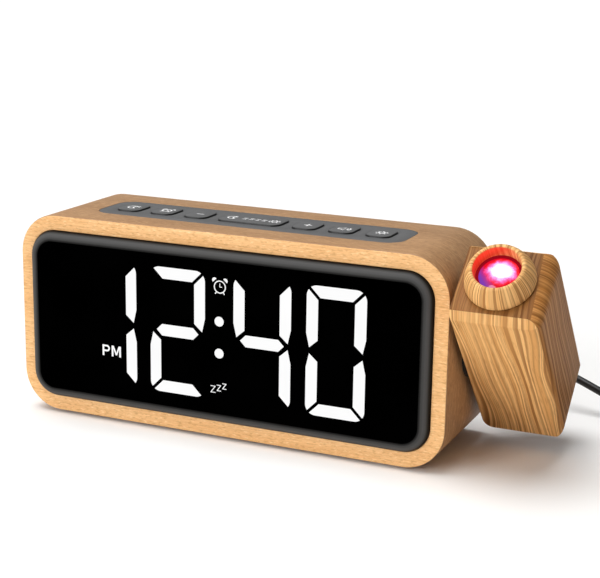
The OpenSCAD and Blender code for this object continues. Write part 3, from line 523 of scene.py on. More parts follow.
def addBump(tree, shader, height, strength, distance):
    bump = addNode(tree, "Bump", Height=height, Strength=strength, Distance=distance)
    tree.links.new(bump.outputs["Normal"], shader.inputs["Normal"])


# The case's beech foil: the pale front, and the wrap that is darker round the sides
beech = {
    "pale": (0.95, 0.585, 0.275), "deep": (0.87, 0.49, 0.205), "fleck": (0.60, 0.29, 0.09),
    "shine": (1.0, 0.70, 0.38), "wrapPale": (0.56, 0.315, 0.145), "wrapDeep": (0.43, 0.23, 0.098),
    "wrapFleck": (0.25, 0.12, 0.045), "wrapShine": (0.66, 0.41, 0.21)}


def beechMaterial(name, pale, deep, fleck, shine, fleckSize, roughness, specular=0.3):
    # Soft cloudy bands, fine lines, and short light and dark flecks along the grain
    material, tree, shader = startMaterial(name, pale, roughness, specular)
    color = ramp(tree, noise(tree, "UV", (18, 110, 1), 3, 0.55), [(0.32, deep), (0.66, pale)])
    lines = noise(tree, "UV", (40, 1500, 1), 3, 0.6)
    color = mixColor(tree, ramp(tree, lines, [(0.35, 0.0), (0.7, 0.45)]), color, fleck)
    bright = noise(tree, "UV", fleckSize, shift=(7, 3, 0))
    color = mixColor(tree, ramp(tree, bright, [(0.56, 0.0), (0.7, 0.7)]), color, shine)
    specks = noise(tree, "UV", fleckSize, 2, 0.55)
    color = mixColor(tree, ramp(tree, specks, [(0.53, 0.0), (0.65, 0.6)]), color, fleck)
    tree.links.new(color, shader.inputs["Base Color"])
    drive(tree, shader, "Roughness", lines, [(0.3, roughness - 0.06), (0.7, roughness + 0.08)])
    addBump(tree, shader, specks, 0.12, 0.0001)
    return material


# Striped oak, sawn beside the log's middle: rings about a distant, slightly tilted pith
stripes = {
    "pale": (0.94, 0.57, 0.235), "mid": (0.75, 0.40, 0.14), "dark": (0.33, 0.14, 0.04), "bands": 330,
    "lines": 760, "pith": 0.083, "depth": 0.004, "tilt": 0.12, "sway": 0.011}


def stripedMaterial(name):
    # U runs across the grain and V along it; a per-face level paints shade on the head: its top and sides
    # darker, its front a little dimmer
    mid, dark = stripes["mid"], stripes["dark"]
    material, tree, shader = startMaterial(name, mid, 0.5, 0.15)
    bend = noise(tree, "UV", (45, 16, 1), 1, 0.4)
    split = addNode(tree, "SeparateXYZ", Vector=addNode(tree, "TexCoord").outputs["UV"])
    across = maths(tree, "SUBTRACT", split.outputs["X"], stripes["pith"])
    depth = maths(tree, "MULTIPLY_ADD", split.outputs["Y"], stripes["tilt"], stripes["depth"])
    spot = addNode(tree, "CombineXYZ", X=across, Y=depth)
    radius = addNode(tree, "VectorMath", {"operation": "LENGTH"}, Vector=spot.outputs["Vector"])
    wavy = maths(tree, "MULTIPLY_ADD", bend, stripes["sway"], radius.outputs["Value"])
    bands, lines = (
        addNode(tree, "TexNoise", {"noise_dimensions": "1D"}, W=wavy, Scale=stripes[k], Detail=2.0,
                Roughness=0.6).outputs["Fac"] for k in ("bands", "lines"))
    color = ramp(tree, bands, [(0.38, mid), (0.56, stripes["pale"])])
    lineMask = ramp(tree, lines, [(0.38, 0.95), (0.47, 0.6), (0.56, 0.0)])
    # The lines come and go along the grain
    broad = noise(tree, "UV", (120, 14, 1), shift=(3, 5, 0))
    strength = ramp(tree, broad, [(0.3, 0.35), (0.6, 0.95)])
    lineMask = mixColor(tree, 1.0, lineMask, strength, "MULTIPLY")
    color = mixColor(tree, lineMask, color, dark)
    pores = noise(tree, "UV", (2400, 130, 1), 2, 0.6)
    color = mixColor(tree, ramp(tree, pores, [(0.54, 0.0), (0.7, 0.45)]), color, dark)
    # Painted shade: the per-face level darkens the colour of the head's top and sides
    paintedShading = ramp(tree, attribute(tree, "paintedLightLevel"), [
        (0.0, (0.2, 0.15, 0.1)), (0.5, (0.64, 0.50, 0.36)), (1.0, 1.0)])
    color = mixColor(tree, 1.0, color, paintedShading, "MULTIPLY")
    # Painted red light on the mouth's inner wall, in its colour and in its emission, though the wall is no lamp
    glow = attribute(tree, "glow")
    color = mixColor(tree, ramp(tree, glow, [(0.0, 0.0), (0.6, 0.85)]), color, (0.3, 0.02, 0.01))
    tree.links.new(color, shader.inputs["Base Color"])
    drive(tree, shader, "Emission Color", glow, [
        (0.0, 0.0), (0.5, (0.42, 0.02, 0.008)), (1.0, (0.72, 0.02, 0.012))])
    shader.inputs["Emission Strength"].default_value = 1.0
    drive(tree, shader, "Roughness", lines, [(0.35, 0.58), (0.6, 0.46)])
    addBump(tree, shader, lines, 0.12, 0.0001)
    return material


def mouldedMaterial(name, color, roughness=0.5, grain=9000, strength=0.12, specular=0.5):
    # Moulded plastic: a fine spark-eroded grain and slightly uneven gloss
    material, tree, shader = startMaterial(name, color, roughness, specular)
    broad = noise(tree, "Object", 45)
    drive(tree, shader, "Base Color", broad, [(0.3, tinted(color, 0.92)), (0.7, tinted(color, 1.06))])
    drive(tree, shader, "Roughness", broad, [(0.3, roughness - 0.03), (0.7, roughness + 0.05)])
    addBump(tree, shader, noise(tree, "Object", grain), strength, 0.00003)
    return material


def boardMaterial():
    # Green solder mask with paler copper tracks under it
    material, tree, shader = startMaterial("circuitBoard", (0.03, 0.17, 0.07), 0.35)
    tracks = addNode(
        tree, "TexBrick", Vector=stretched(tree, "Object", (180, 180, 180), (pi / 2, 0, 0)),
        Color1=(0.02, 0.14, 0.055), Color2=(0.025, 0.16, 0.06), Mortar=(0.07, 0.3, 0.12), Scale=1.0)
    tree.links.new(tracks.outputs["Color"], shader.inputs["Base Color"])
    addBump(tree, shader, noise(tree, "Object", 900), 0.05, 0.00005)
    return material


def steelMaterial(name, color=(0.66, 0.66, 0.68), roughness=0.3):
    material, tree, shader = startMaterial(name, color, roughness, 0.5, 1.0)
    brushed = noise(tree, "Object", (60, 2500, 60), 3, 0.6)
    drive(tree, shader, "Roughness", brushed, [(0.3, roughness - 0.06), (0.7, roughness + 0.12)])
    drive(tree, shader, "Base Color", brushed, [(0.3, tinted(color, 0.9)), (0.7, color)])
    addBump(tree, shader, brushed, 0.05, 0.00003)
    return material


def lightMaterial(name, color, strength):
    # Lit parts: a hint of the chamber's uneven light, almost flat
    material, tree, shader = startMaterial(name, (0, 0, 0), 0.4, 0.0)
    patch = noise(tree, "Object", 70, 1)
    drive(tree, shader, "Emission Color", patch, [(0.3, tinted(color, 0.97)), (0.7, color)])
    shader.inputs["Emission Strength"].default_value = strength
    return material


def glassMaterial(name, tint=(0.96, 0.97, 1.0)):
    material, tree, shader = startMaterial(name, tint, 0.03)
    shader.inputs["Transmission Weight"].default_value = 1.0
    shader.inputs["IOR"].default_value = 1.5
    drive(tree, shader, "Roughness", noise(tree, "Object", 1500), [(0.3, 0.02), (0.75, 0.06)])
    return material


def rubberMaterial(name, color, roughness=0.55):
    material, tree, shader = startMaterial(name, color, roughness)
    skin = noise(tree, "Object", 2500)
    drive(tree, shader, "Roughness", skin, [(0.3, roughness - 0.08), (0.7, roughness + 0.06)])
    drive(tree, shader, "Base Color", skin, [(0.3, tinted(color, 0.85)), (0.7, tinted(color, 1.15))])
    addBump(tree, shader, skin, 0.08, 0.00004)
    return material


def rimMaterial():
    # The window's rounded edge: black at the wood, then a grey painted reflection in the middle, fading softly
    # into the flat
    material, tree, shader = startMaterial("windowRim", (0.02, 0.02, 0.02), 0.5, 0.08)
    drive(tree, shader, "Base Color", attribute(tree, "fromRim"), [
        (0.0, 0.0), (0.2, 0.012), (0.44, 0.082), (0.6, 0.075), (0.8, 0.027),
        (1.0, 0.0)])
    addBump(tree, shader, noise(tree, "Object", 4000), 0.03, 0.00002)
    return material


def flatWindowMaterial():
    material, tree, shader = startMaterial("windowFlat", (0.0, 0.0, 0.0), 0.3, 0.0)
    drive(tree, shader, "Base Color", noise(tree, "Object", 35), [(0.3, 0.0), (0.8, 0.0004)])
    return material


lens = {
    "radius": 8.05 * mm, "clear": 7.6 * mm, "edge": 2.4 * mm, "bulge": 2.6 * mm, "inMouth": 3.55 * mm,
    "hot": (0.9 * mm, 0.6 * mm), "steps": 64, "domeSteps": 16}


def lensMaterial():
    # The lit lens: a white core that runs through pink and red, with violet low on its left
    material, tree, shader = startMaterial("litLens", (0.02, 0.005, 0.01), 0.05, 0.5)
    swirl = noise(tree, "Object", 300, 4, 0.65, 0.6)
    glow = ramp(tree, maths(tree, "MULTIPLY_ADD", swirl, 0.5, attribute(tree, "fromCore")), [
        (0.55, (1.0, 0.98, 1.0)), (0.68, (1.0, 0.55, 0.9)), (0.8, (0.95, 0.12, 0.4)),
        (0.93, (0.85, 0.015, 0.03)), (1.0, (0.5, 0.0, 0.01))])
    violet = ramp(tree, attribute(tree, "fromLeft"), [(0.1, 0.95), (0.3, 0.0)])
    glow = mixColor(tree, violet, glow, (0.10, 0.03, 0.30))
    tree.links.new(glow, shader.inputs["Emission Color"])
    shader.inputs["Emission Strength"].default_value = 1.5
    return material


def floorMaterial():
    # White to the eye; it throws less light back at the object than the camera sees
    material = bpy.data.materials.new("floor")
    material.use_nodes = True
    tree = material.node_tree
    tree.nodes.remove(tree.nodes["Principled BSDF"])
    bounced = addNode(tree, "BsdfDiffuse", Color=(0.84, 0.79, 0.73))
    seen = addNode(tree, "BsdfDiffuse", Color=(1.0, 0.995, 0.985))
    path = addNode(tree, "LightPath").outputs["Is Camera Ray"]
    mixShaders(tree, path, bounced, seen, tree.nodes["Material Output"])
    return material


# The case: its wrap, the window and what is lit in it

strip = {
    "width": 137.6 * mm, "depth": 28.7 * mm, "radius": 8 * mm, "gap": 0.15 * mm, "thickness": 2 * mm,
    "softEdge": 0.175 * mm, "cornerSteps": 10}
window = {
    "width": 178.3 * mm, "height": 71.8 * mm, "radius": 11 * mm, "proud": 3 * mm, "midX": -0.35 * mm,
    "midZ": caseMid + 0.05 * mm, "gap": 0.1 * mm, "edgeSteps": 10, "depth": 4.5 * mm, "back": 0.03 * mm,
    "fade": 1.0 * mm, "fadeSteps": 2, "fadeFlat": 0.8}
lightEdges = {"digit_lights": 0.16 * mm, "colon_lights": 0.12 * mm, "mark_lights": 0.07 * mm}


def aroundCase(x, z):
    # Distance along the case's outline from the middle of its top
    r = case["radius"]
    halfWidth, halfHeight = case["width"] / 2 - r, case["height"] / 2 - r
    side = 1 if x >= 0 else -1
    x, z = abs(x), z - caseMid
    if x <= halfWidth and z > 0:
        return side * x
    if x <= halfWidth:
        return side * (halfWidth * 2 + pi * r + 2 * halfHeight - x)
    if abs(z) <= halfHeight:
        return side * (halfWidth + pi * r / 2 + halfHeight - z)
    if z > 0:
        return side * (halfWidth + r * atan2(x - halfWidth, z - halfHeight))
    return side * (
        halfWidth + 2 * halfHeight + pi * r / 2 + r * atan2(-z - halfHeight, x - halfWidth))


def makeCaseWrap(faceWood, wrapWood, inside):
    steps = case["cornerSteps"]
    bm = bmesh.new()
    outerLoop = openFace(bm, roundedFace(
        bm, case["width"], case["height"], case["radius"], steps, standUp(caseFront, z=caseMid)))
    extrudeLoop(bm, outerLoop, (0, case["depth"], 0))
    backLoop = edgesAt(bm, 1, caseBack)
    # The window's opening in front
    gap = window["gap"]
    holeLoop = openFace(bm, roundedFace(
        bm, window["width"] + 2 * gap, window["height"] + 2 * gap, window["radius"] + gap, steps,
        standUp(caseFront, window["midX"], window["midZ"])))
    bmesh.ops.bridge_loops(bm, edges=outerLoop + holeLoop)
    extrudeLoop(bm, holeLoop, (0, case["frontLip"], 0))
    # The back's opening
    backFace = bmesh.ops.contextual_create(bm, geom=backLoop)["faces"][0]
    insetFaces(bm, [backFace], case["backRim"])
    extrudeLoop(bm, openFace(bm, backFace), (0, -case["backLip"], 0))
    # The strip's opening on top
    roof = max(
        (f for f in bm.faces if f.normal.z ** 2 > 0.9),
        key=lambda f: f.calc_center_median().z * 100 + f.calc_area())
    roofEdges = openFace(bm, roof)
    slotLoop = openFace(bm, roundedFace(
        bm, strip["width"] + 2 * strip["gap"], strip["depth"] + 2 * strip["gap"], strip["radius"],
        strip["cornerSteps"], at(0, 0, caseTop)))
    bmesh.ops.triangle_fill(bm, use_beauty=True, use_dissolve=False, edges=roofEdges + slotLoop)
    extrudeLoop(bm, slotLoop, (0, 0, -strip["thickness"]))
    turnOut(bm)
    softenEdges(bm, outerLoop + holeLoop + backLoop, case["softEdge"])
    # The grain follows the outline round the case, and runs across on the front
    uv = bm.loops.layers.uv.new("UVMap")
    for face in bm.faces:
        flat = abs(face.normal.y) > 0.72
        face.material_index = 0 if flat and face.normal.y < 0 else 1
        for loop in face.loops:
            x, y, z = loop.vert.co
            loop[uv].uv = (x, z) if flat else (aroundCase(x, z), y)
    piece = toPiece("caseWrap", bm, [faceWood, wrapWood, inside, inside], "case", 30)
    addModifier(
        piece, "SOLIDIFY", thickness=case["wall"], offset=-1, use_even_offset=True, use_rim=True,
        material_offset=2)
    bakeModifiers(piece, 30)
    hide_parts("case_sleeve")


def makeWindow(rim, flat):
    bm = bmesh.new()
    front = caseFront - window["proud"] + window["back"]
    face = roundedFace(
        bm, window["width"], window["height"], window["radius"], 14,
        standUp(front, window["midX"], window["midZ"]))
    sweepFace(bm, face, (0, window["proud"] + window["depth"], 0))
    softenEdges(bm, edgesAt(bm, 1, front), window["proud"], window["edgeSteps"])
    # 0 at the wood, 1 where the painted grey reflection has faded out on the flat
    turn, = numberLayers(bm, "fromRim")
    flatStart = window["fadeFlat"]
    for vert in bm.verts:
        rise = (caseFront - vert.co.y) / window["proud"]
        vert[turn] = 0.0 if rise <= 0 else 2 / pi * asin(min(1, rise)) * flatStart
    for i in range(window["fadeSteps"]):
        insetFaces(bm, [frontFace(bm)], window["fade"] / window["fadeSteps"])
        middle = frontFace(bm)
        for vert in middle.verts:
            vert[turn] = flatStart + (1 - flatStart) * (i + 1) / window["fadeSteps"]
    for f in bm.faces:
        f.material_index = 1 if f == middle else 0
    piece = toPiece("frontWindow", bm, [rim, flat], "case", 50)
    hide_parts("front_panel")


def makeLights(node, edge, lit, dark):
    # The lit part's own shape, with the smoked window's black over a thin edge of its front
    bm = bmesh.new()
    bm.from_mesh(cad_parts[node].data)
    moveAll(bm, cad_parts[node].matrix_world)
    bmesh.ops.remove_doubles(bm, verts=bm.verts, dist=1e-6)
    bm.normal_update()
    front = [f for f in bm.faces if f.normal.y < -0.9]
    bmesh.ops.inset_region(bm, faces=front, thickness=edge, use_boundary=True, use_even_offset=True)
    for f in bm.faces:
        f.material_index = 1
    for f in front:
        f.material_index = 0
    piece = toPiece(node.replace("_l", "L"), bm, [lit, dark], "case", 30)
    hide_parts(node)


# The keys, from left to right
keys = {
    "names": ["sleep", "alarm", "minus", "snooze", "plus", "sound", "light"], "middle": -0.2 * mm,
    "first": 24.6 * mm, "pitch": 16 * mm, "width": 10.5 * mm, "wide": 28 * mm, "depth": 14.2 * mm,
    "radius": 3.5 * mm, "gap": 0.2 * mm, "proud": 0.6 * mm, "below": 0.6 * mm, "softTop": 0.25 * mm}
wideKey = keys["names"].index("snooze")


def keyX(i):
    away = i - wideKey
    if away == 0:
        return keys["middle"]
    return keys["middle"] + copysign(keys["first"] + (abs(away) - 1) * keys["pitch"], away)


def keyWidth(i):
    return keys["wide"] if i == wideKey else keys["width"]


def makeKeyStrip(material):
    bm = bmesh.new()
    edges = openFace(bm, roundedFace(
        bm, strip["width"], strip["depth"], strip["radius"], strip["cornerSteps"],
        at(0, 0, caseTop)))
    gap = keys["gap"]
    for i in range(len(keys["names"])):
        edges += openFace(bm, roundedFace(
            bm, keyWidth(i) + 2 * gap, keys["depth"] + 2 * gap, keys["radius"] + gap, 6,
            at(keyX(i), 0, caseTop)))
    bmesh.ops.triangle_fill(bm, use_beauty=True, use_dissolve=False, edges=edges)
    down = bmesh.ops.extrude_face_region(bm, geom=bm.faces[:], use_keep_orig=True)
    bmesh.ops.translate(bm, vec=(0, 0, -strip["thickness"]), verts=newVerts(down))
    turnOut(bm)
    softenEdges(bm, edges, strip["softEdge"], 2)
    piece = toPiece("keyStrip", bm, [material], "case", 30)
    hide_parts("key_strip")


def makeKeys(topGrey, sidePaintedShade):
    top = caseTop + keys["proud"]
    for i, name in enumerate(keys["names"]):
        bm = bmesh.new()
        face = roundedFace(
            bm, keyWidth(i), keys["depth"], keys["radius"], 8, at(keyX(i), 0, top))
        sweepFace(bm, face, (0, 0, -keys["proud"] - strip["thickness"] - keys["below"]))
        softenEdges(bm, edgesAt(bm, 2, top), keys["softTop"])
        # The tops keep the key's grey; the sides get near-black painted shade, the shade in the gap round each
        # key
        for f in bm.faces:
            f.material_index = 0 if f.normal.z > 0.98 else 1
        piece = toPiece(name + "Key", bm, [topGrey, sidePaintedShade], "key_" + name + "_body", 35)
        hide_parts("key_" + name)


# The keys' marks, drawn in millimetres about each key's middle and pressed flat
icons = {"stroke": 0.33, "lift": 0.02 * mm, "thin": 0.02}


def arc(x, y, radius, start=0, end=360, steps=24):
    angles = [radians(start + (end - start) * i / steps) for i in range(steps + 1)]
    return [(x + radius * cos(a), y + radius * sin(a)) for a in angles]


def moon(x, y, r):
    return [arc(x, y, r, 50, 310) + arc(x + 0.9 * r, y, 0.83 * r, 248, 112, 14)]


def sun(x, y, r):
    rays = [arc(x, y, k * r, 0, 315, 7) for k in (1.5, 2.1)]
    return [arc(x, y, r)] + [list(ends) for ends in zip(*rays)]


def sleepZ(x, y, size):
    return [[(x, y + size), (x + 0.8 * size, y + size), (x, y), (x + 0.8 * size, y)]]


def bellClock(x, y, r):
    return [
        arc(x, y, r), [(x, y + 0.55 * r), (x, y), (x + 0.45 * r, y)],
        arc(x - 0.95 * r, y + 1.05 * r, 0.4 * r, 45, 225, 8),
        arc(x + 0.95 * r, y + 1.05 * r, 0.4 * r, -45, 135, 8),
        [(x - 0.7 * r, y - 0.8 * r), (x - r, y - 1.25 * r)],
        [(x + 0.7 * r, y - 0.8 * r), (x + r, y - 1.25 * r)]]


iconLines = {
    "sleep": moon(-0.3, 0, 2.3) + sleepZ(1.4, 0.6, 1.3),
    "alarm": bellClock(0, 0, 2),
    "minus": [[(-1.7, 0), (1.7, 0)]],
    "snooze": (
        moon(-9.3, 0, 2.2) + [line for i in range(4) for line in sleepZ(-4.6 + 2.9 * i, -1.1, 2.2)]
        + sun(9.6, 0, 1.25)),
    "plus": [[(-1.7, 0), (1.7, 0)], [(0, -1.9), (0, 1.9)]],
    "sound": [
        [(-2.6, -0.9), (-1.4, -0.9), (0, -2.2), (0, 2.2), (-1.4, 0.9), (-2.6, 0.9), (-2.6, -0.9)],
        arc(0.2, 0, 1.2, -50, 50, 10), arc(0.2, 0, 2.3, -50, 50, 12)],
    "light": sun(0, 0, 1.3)}


def makeIcons(white):
    for i, name in enumerate(keys["names"]):
        curve = newCurve(name + "Icon", icons["stroke"], 2)
        for line in iconLines[name]:
            spline = curve.splines.new("POLY")
            spline.points.add(len(line) - 1)
            for point, (x, y) in zip(spline.points, line):
                point.co = (x, y, 0, 1)
        drawn = newObject(name + "Icon", curve)
        graph = bpy.context.evaluated_depsgraph_get()
        mesh = bpy.data.meshes.new_from_object(drawn.evaluated_get(graph))
        bpy.data.objects.remove(drawn)
        bm = bmesh.new()
        bm.from_mesh(mesh)
        place = at(keyX(i), 0, caseTop + keys["proud"] + icons["lift"])
        moveAll(bm, place @ Matrix.Diagonal((mm, mm, mm * icons["thin"], 1)))
        piece = toPiece(name + "Mark", bm, [white], "key_" + name + "_body", 60)


# The projector's head, drawn upright about its shaft and then leant to the front

head = {
    "x0": 97.4 * mm, "width": 34.2 * mm, "depth": 33.6 * mm, "height": 82 * mm, "lean": 42,
    "back": 3.6 * mm, "up": 2.3 * mm, "wall": 2.4 * mm, "edge": 2.8 * mm, "outerRadius": 3.5 * mm,
    "innerRadius": 1.5 * mm, "toe": 9 * mm, "lowCorner": 10 * mm, "topCorner": 4.7 * mm,
    "topCornerBack": 9.2 * mm, "hollowRadius": 3 * mm, "soften": 0.4 * mm, "over": 5 * mm,
    # Levels of painted light on the head's faces: painted shade makes the top and the sides darker and the front
    # a little dimmer
    "frontPaintedLight": 0.92, "sidePaintedLight": 0.5, "topPaintedLight": 0.21}
headX1 = head["x0"] + head["width"]
headTopZ = head["height"] / 2
headTurn = (
    at(0, 0, caseMid) @ Matrix.Rotation(radians(head["lean"]), 4, "X")
    @ at(0, head["back"], head["up"]))
nozzle = {
    "x": 113.1 * mm, "y": 1 * mm, "foot": 13.5 * mm, "rim": 10.9 * mm, "mouth": 8.9 * mm, "height": 9 * mm,
    "seam": 0.2 * mm, "shank": 11.9 * mm, "bore": 9.56 * mm, "below": 12 * mm, "flareSteps": 8,
    "steps": 72, "play": 0.06 * mm, "grain": 12.3 * mm}
nozzleTurn = headTurn @ at(nozzle["x"], nozzle["y"], 0)


def makeHead(wood):
    width, depth, height, over = head["width"], head["depth"], head["height"], head["over"]
    centreX = head["x0"] + width / 2
    inner, outer = head["innerRadius"], head["outerRadius"]
    # Three drawings, seen from above, from the side and from the front: the head is what they share
    bm = bmesh.new()
    plan = roundedFace(
        bm, width, depth, [inner, outer, outer, inner], 8, at(centreX, 0, -height / 2))
    sweepFace(bm, plan, (0, 0, height))
    piece = toPiece("headShell", bm, [wood], None)
    bm = bmesh.new()
    # The side's front top corner is a flat bevel
    side = roundedFace(bm, depth, height, head["edge"], [8, 8, 8, 1], standSideways(head["x0"] - over))
    sweepFace(bm, side, (width + 2 * over, 0, 0))
    combine(piece, bm, "INTERSECT")
    bm = bmesh.new()
    front = roundedFace(
        bm, width, height, [head["toe"], head["lowCorner"], head["topCorner"], 0], 14,
        standUp(-depth / 2 - over, centreX))
    back = sweepFace(bm, front, (0, depth + 2 * over, 0))
    # The top corner's rounding widens towards the back
    reach = head["topCorner"] * 1.01
    widen = [v for v in back if v.co.x > headX1 - reach and v.co.z > headTopZ - reach]
    bmesh.ops.scale(
        bm, vec=(head["topCornerBack"] / head["topCorner"],) * 3, verts=widen,
        space=at(-headX1, -depth / 2 - over, -headTopZ))
    combine(piece, bm, "INTERSECT")
    # The hollow, open towards the case, and the nozzle's hole
    bm = bmesh.new()
    top = headTopZ - head["edge"] - head["wall"]
    bottom = head["toe"] - headTopZ
    hollow = roundedFace(
        bm, depth - 2 * head["wall"], top - bottom, head["hollowRadius"], 6,
        standSideways(head["x0"] - over, (top + bottom) / 2))
    sweepFace(bm, hollow, (width - head["wall"] + over, 0, 0))
    combine(piece, bm, "DIFFERENCE")
    bm = bmesh.new()
    holeRadius = nozzle["shank"] + nozzle["play"]
    bmesh.ops.create_cone(
        bm, cap_ends=True, segments=64, radius1=holeRadius, radius2=holeRadius, depth=14 * mm,
        matrix=at(nozzle["x"], nozzle["y"], headTopZ))
    combine(piece, bm, "DIFFERENCE")
    addModifier(
        piece, "BEVEL", width=head["soften"], segments=3, limit_method="ANGLE", angle_limit=radians(28))
    bakeModifiers(piece, 25)
    addHeadGrain(piece.data)
    piece.data.transform(headTurn)
    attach(piece, "head")
    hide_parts("head_shell")


def addHeadGrain(mesh):
    # U runs across the grain and V along it; the stripes go over the top from front to back
    mesh.uv_layers.new(name="UVMap")
    mesh.attributes.new("paintedLightLevel", "FLOAT", "CORNER")
    layer = mesh.uv_layers["UVMap"]
    paintedLightLevel = mesh.attributes["paintedLightLevel"]
    # Each face also gets its level of painted light: painted shade on the top and the sides, a little on the
    # front
    for face in mesh.polygons:
        n = face.normal
        sideways = abs(n.x) > (0.35 if n.z > 0.3 else 0.7)
        for index in face.loop_indices:
            x, y, z = mesh.vertices[mesh.loops[index].vertex_index].co
            if sideways:
                layer.data[index].uv = (y + 0.3, z)
                paintedLightLevel.data[index].value = head["sidePaintedLight"]
            elif abs(n.z) > 0.8:
                layer.data[index].uv = (x, copysign(headTopZ + y + head["depth"] / 2, n.z))
                paintedLightLevel.data[index].value = head["topPaintedLight"]
            else:
                layer.data[index].uv = (x, z) if n.y < 0 else (x + 0.5, z)
                paintedLightLevel.data[index].value = head["frontPaintedLight"]


def makeNozzle(wood):
    foot, rim, mouth, shank = nozzle["foot"], nozzle["rim"], nozzle["mouth"], nozzle["shank"]
    z0 = headTopZ + nozzle["seam"]
    z1 = headTopZ + nozzle["height"]
    ledge, low = headTopZ - 0.1 * mm, headTopZ - nozzle["below"]
    rimEdge, rimLow = rim + 0.1 * mm, z1 - 0.95 * mm
    profile = [
        (mouth, ledge), (mouth, z1 - 1.0 * mm), (mouth + 0.12 * mm, z1 - 0.5 * mm),
        (mouth + 0.45 * mm, z1 - 0.12 * mm), (mouth + 0.9 * mm, z1), (rim - 0.7 * mm, z1 - 0.08 * mm),
        (rim - 0.2 * mm, z1 - 0.4 * mm), (rimEdge, rimLow)]
    # It flares to its foot like a bell
    for i in range(1, nozzle["flareSteps"] + 1):
        t = i / nozzle["flareSteps"]
        profile.append((
            rimEdge + (foot - rimEdge) * sin(t * pi / 2) ** 0.85, rimLow - (z1 - z0 - 1.35 * mm) * t))
    profile += [
        (foot - 0.15 * mm, z0 + 0.1 * mm), (foot - 0.4 * mm, z0), (shank, z0), (shank, low),
        (nozzle["bore"], low), (nozzle["bore"], ledge)]
    bm = bmesh.new()
    spunRing(bm, profile, nozzle["steps"], closed=True)
    uv = bm.loops.layers.uv.new("UVMap")
    paintedLightLevel, glow = numberLayers(bm, "paintedLightLevel", "glow")
    for vert in bm.verts:
        x, y, z = vert.co
        inside = hypot(x, y) < mouth + 0.2 * mm and z > headTopZ
        vert[paintedLightLevel] = 1.0
        # Painted red light from the lens on the mouth's inner wall, strongest at its upper left
        vert[glow] = max(0.0, 0.3 + (0.5 * y - 0.85 * x) / mouth) * 0.8 if inside else 0.0
    for f in bm.faces:
        centre = f.calc_center_median()
        middle = atan2(centre.y, centre.x)
        for loop in f.loops:
            x, y, z = loop.vert.co
            angle = atan2(y, x)
            angle -= 2 * pi * round((angle - middle) / (2 * pi))
            loop[uv].uv = (angle * nozzle["grain"] + 0.7, z + hypot(x, y))
    moveAll(bm, nozzleTurn)
    piece = toPiece("focusNozzle", bm, [wood], "focus")
    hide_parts("focus_ring")


def makeLens(glow):
    radius, clear, bulge, steps = lens["radius"], lens["clear"], lens["bulge"], lens["domeSteps"]
    ball = (radius ** 2 + bulge ** 2) / (2 * bulge)
    base = headTopZ + lens["inMouth"]
    profile = [(0, base - lens["edge"]), (radius, base - lens["edge"]), (radius, base)]
    for i in range(steps + 1):
        r = clear * (1 - i / steps)
        profile.append((r, base + sqrt(ball ** 2 - r ** 2) - ball + bulge))
    bm = bmesh.new()
    spunRing(bm, profile, lens["steps"])
    core, left = numberLayers(bm, "fromCore", "fromLeft")
    hotX, hotY = lens["hot"]
    for vert in bm.verts:
        x, y = vert.co.x, vert.co.y
        vert[core] = hypot((x - hotX) * 0.92, y - hotY) / radius
        vert[left] = 0.5 + (0.8 * x + 0.6 * y) / (2 * radius)
    moveAll(bm, nozzleTurn)
    piece = toPiece("litLens", bm, [glow], "barrel", 60)
    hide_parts("projection_lens")


# Light and floor: each sun has the way that its light travels, its strength and its width in degrees
studio = {
    "suns": {
        "keyLight": ((0.2, 0.08, -0.96), 2.35, 42), "frontFill": ((0.42, 0.88, -0.24), 1.82, 36)},
    "world": 0.38, "worldDark": 0.08, "floorSize": 12}


def makeStudio():
    world = bpy.data.worlds.new("studio")
    bpy.context.scene.world = world
    world.use_nodes = True
    tree = world.node_tree
    background = tree.nodes["Background"]
    # Ambient light falls off to the right
    direction = addNode(tree, "SeparateXYZ", Vector=addNode(tree, "TexCoord").outputs["Generated"])
    across = addNode(tree, "MapRange", Value=direction.outputs["X"], From_Min=-1.0, From_Max=1.0)
    drive(tree, background, "Color", across.outputs["Result"], [
        (0.25, studio["world"]), (0.8, studio["worldDark"])])
    seen = addNode(tree, "Background", Color=(1, 1, 1), Strength=1.0)
    path = addNode(tree, "LightPath").outputs
    direct = maths(tree, "MAXIMUM", path["Is Camera Ray"], path["Is Transmission Ray"])
    mixShaders(tree, direct, background, seen, tree.nodes["World Output"])
    for name, (travel, strength, angle) in studio["suns"].items():
        sun = bpy.data.lights.new(name, "SUN")
        sun.energy = strength
        sun.angle = radians(angle)
        lamp = newObject(name, sun)
        lamp.rotation_euler = Vector(travel).to_track_quat("-Z", "Y").to_euler()
    bm = bmesh.new()
    bmesh.ops.create_grid(bm, x_segments=1, y_segments=1, size=studio["floorSize"] / 2)
    bmesh.ops.translate(bm, vec=(0, 0, -0.02 * mm), verts=bm.verts)
    floor = toPiece("floor", bm, [floorMaterial()], None)


# Everything together

makeCamera()
cordRubber = rubberMaterial("cordRubber", (0.010, 0.010, 0.011), 0.42)
bootRubber = rubberMaterial("bootRubber", (0.028, 0.028, 0.03), 0.55)
tieFabric = rubberMaterial("tieFabric", (0.018, 0.018, 0.02), 0.85)
nickel = steelMaterial("nickel", (0.7, 0.69, 0.67), 0.22)
lead = makeCord(cordRubber)
plugPieces = (
    [makeDcPlug(bootRubber)] + makeUsbGrip(bootRubber) + makeUsbShell(bootRubber, nickel) + [makeTie(tieFabric)])
print("camera and cord made")

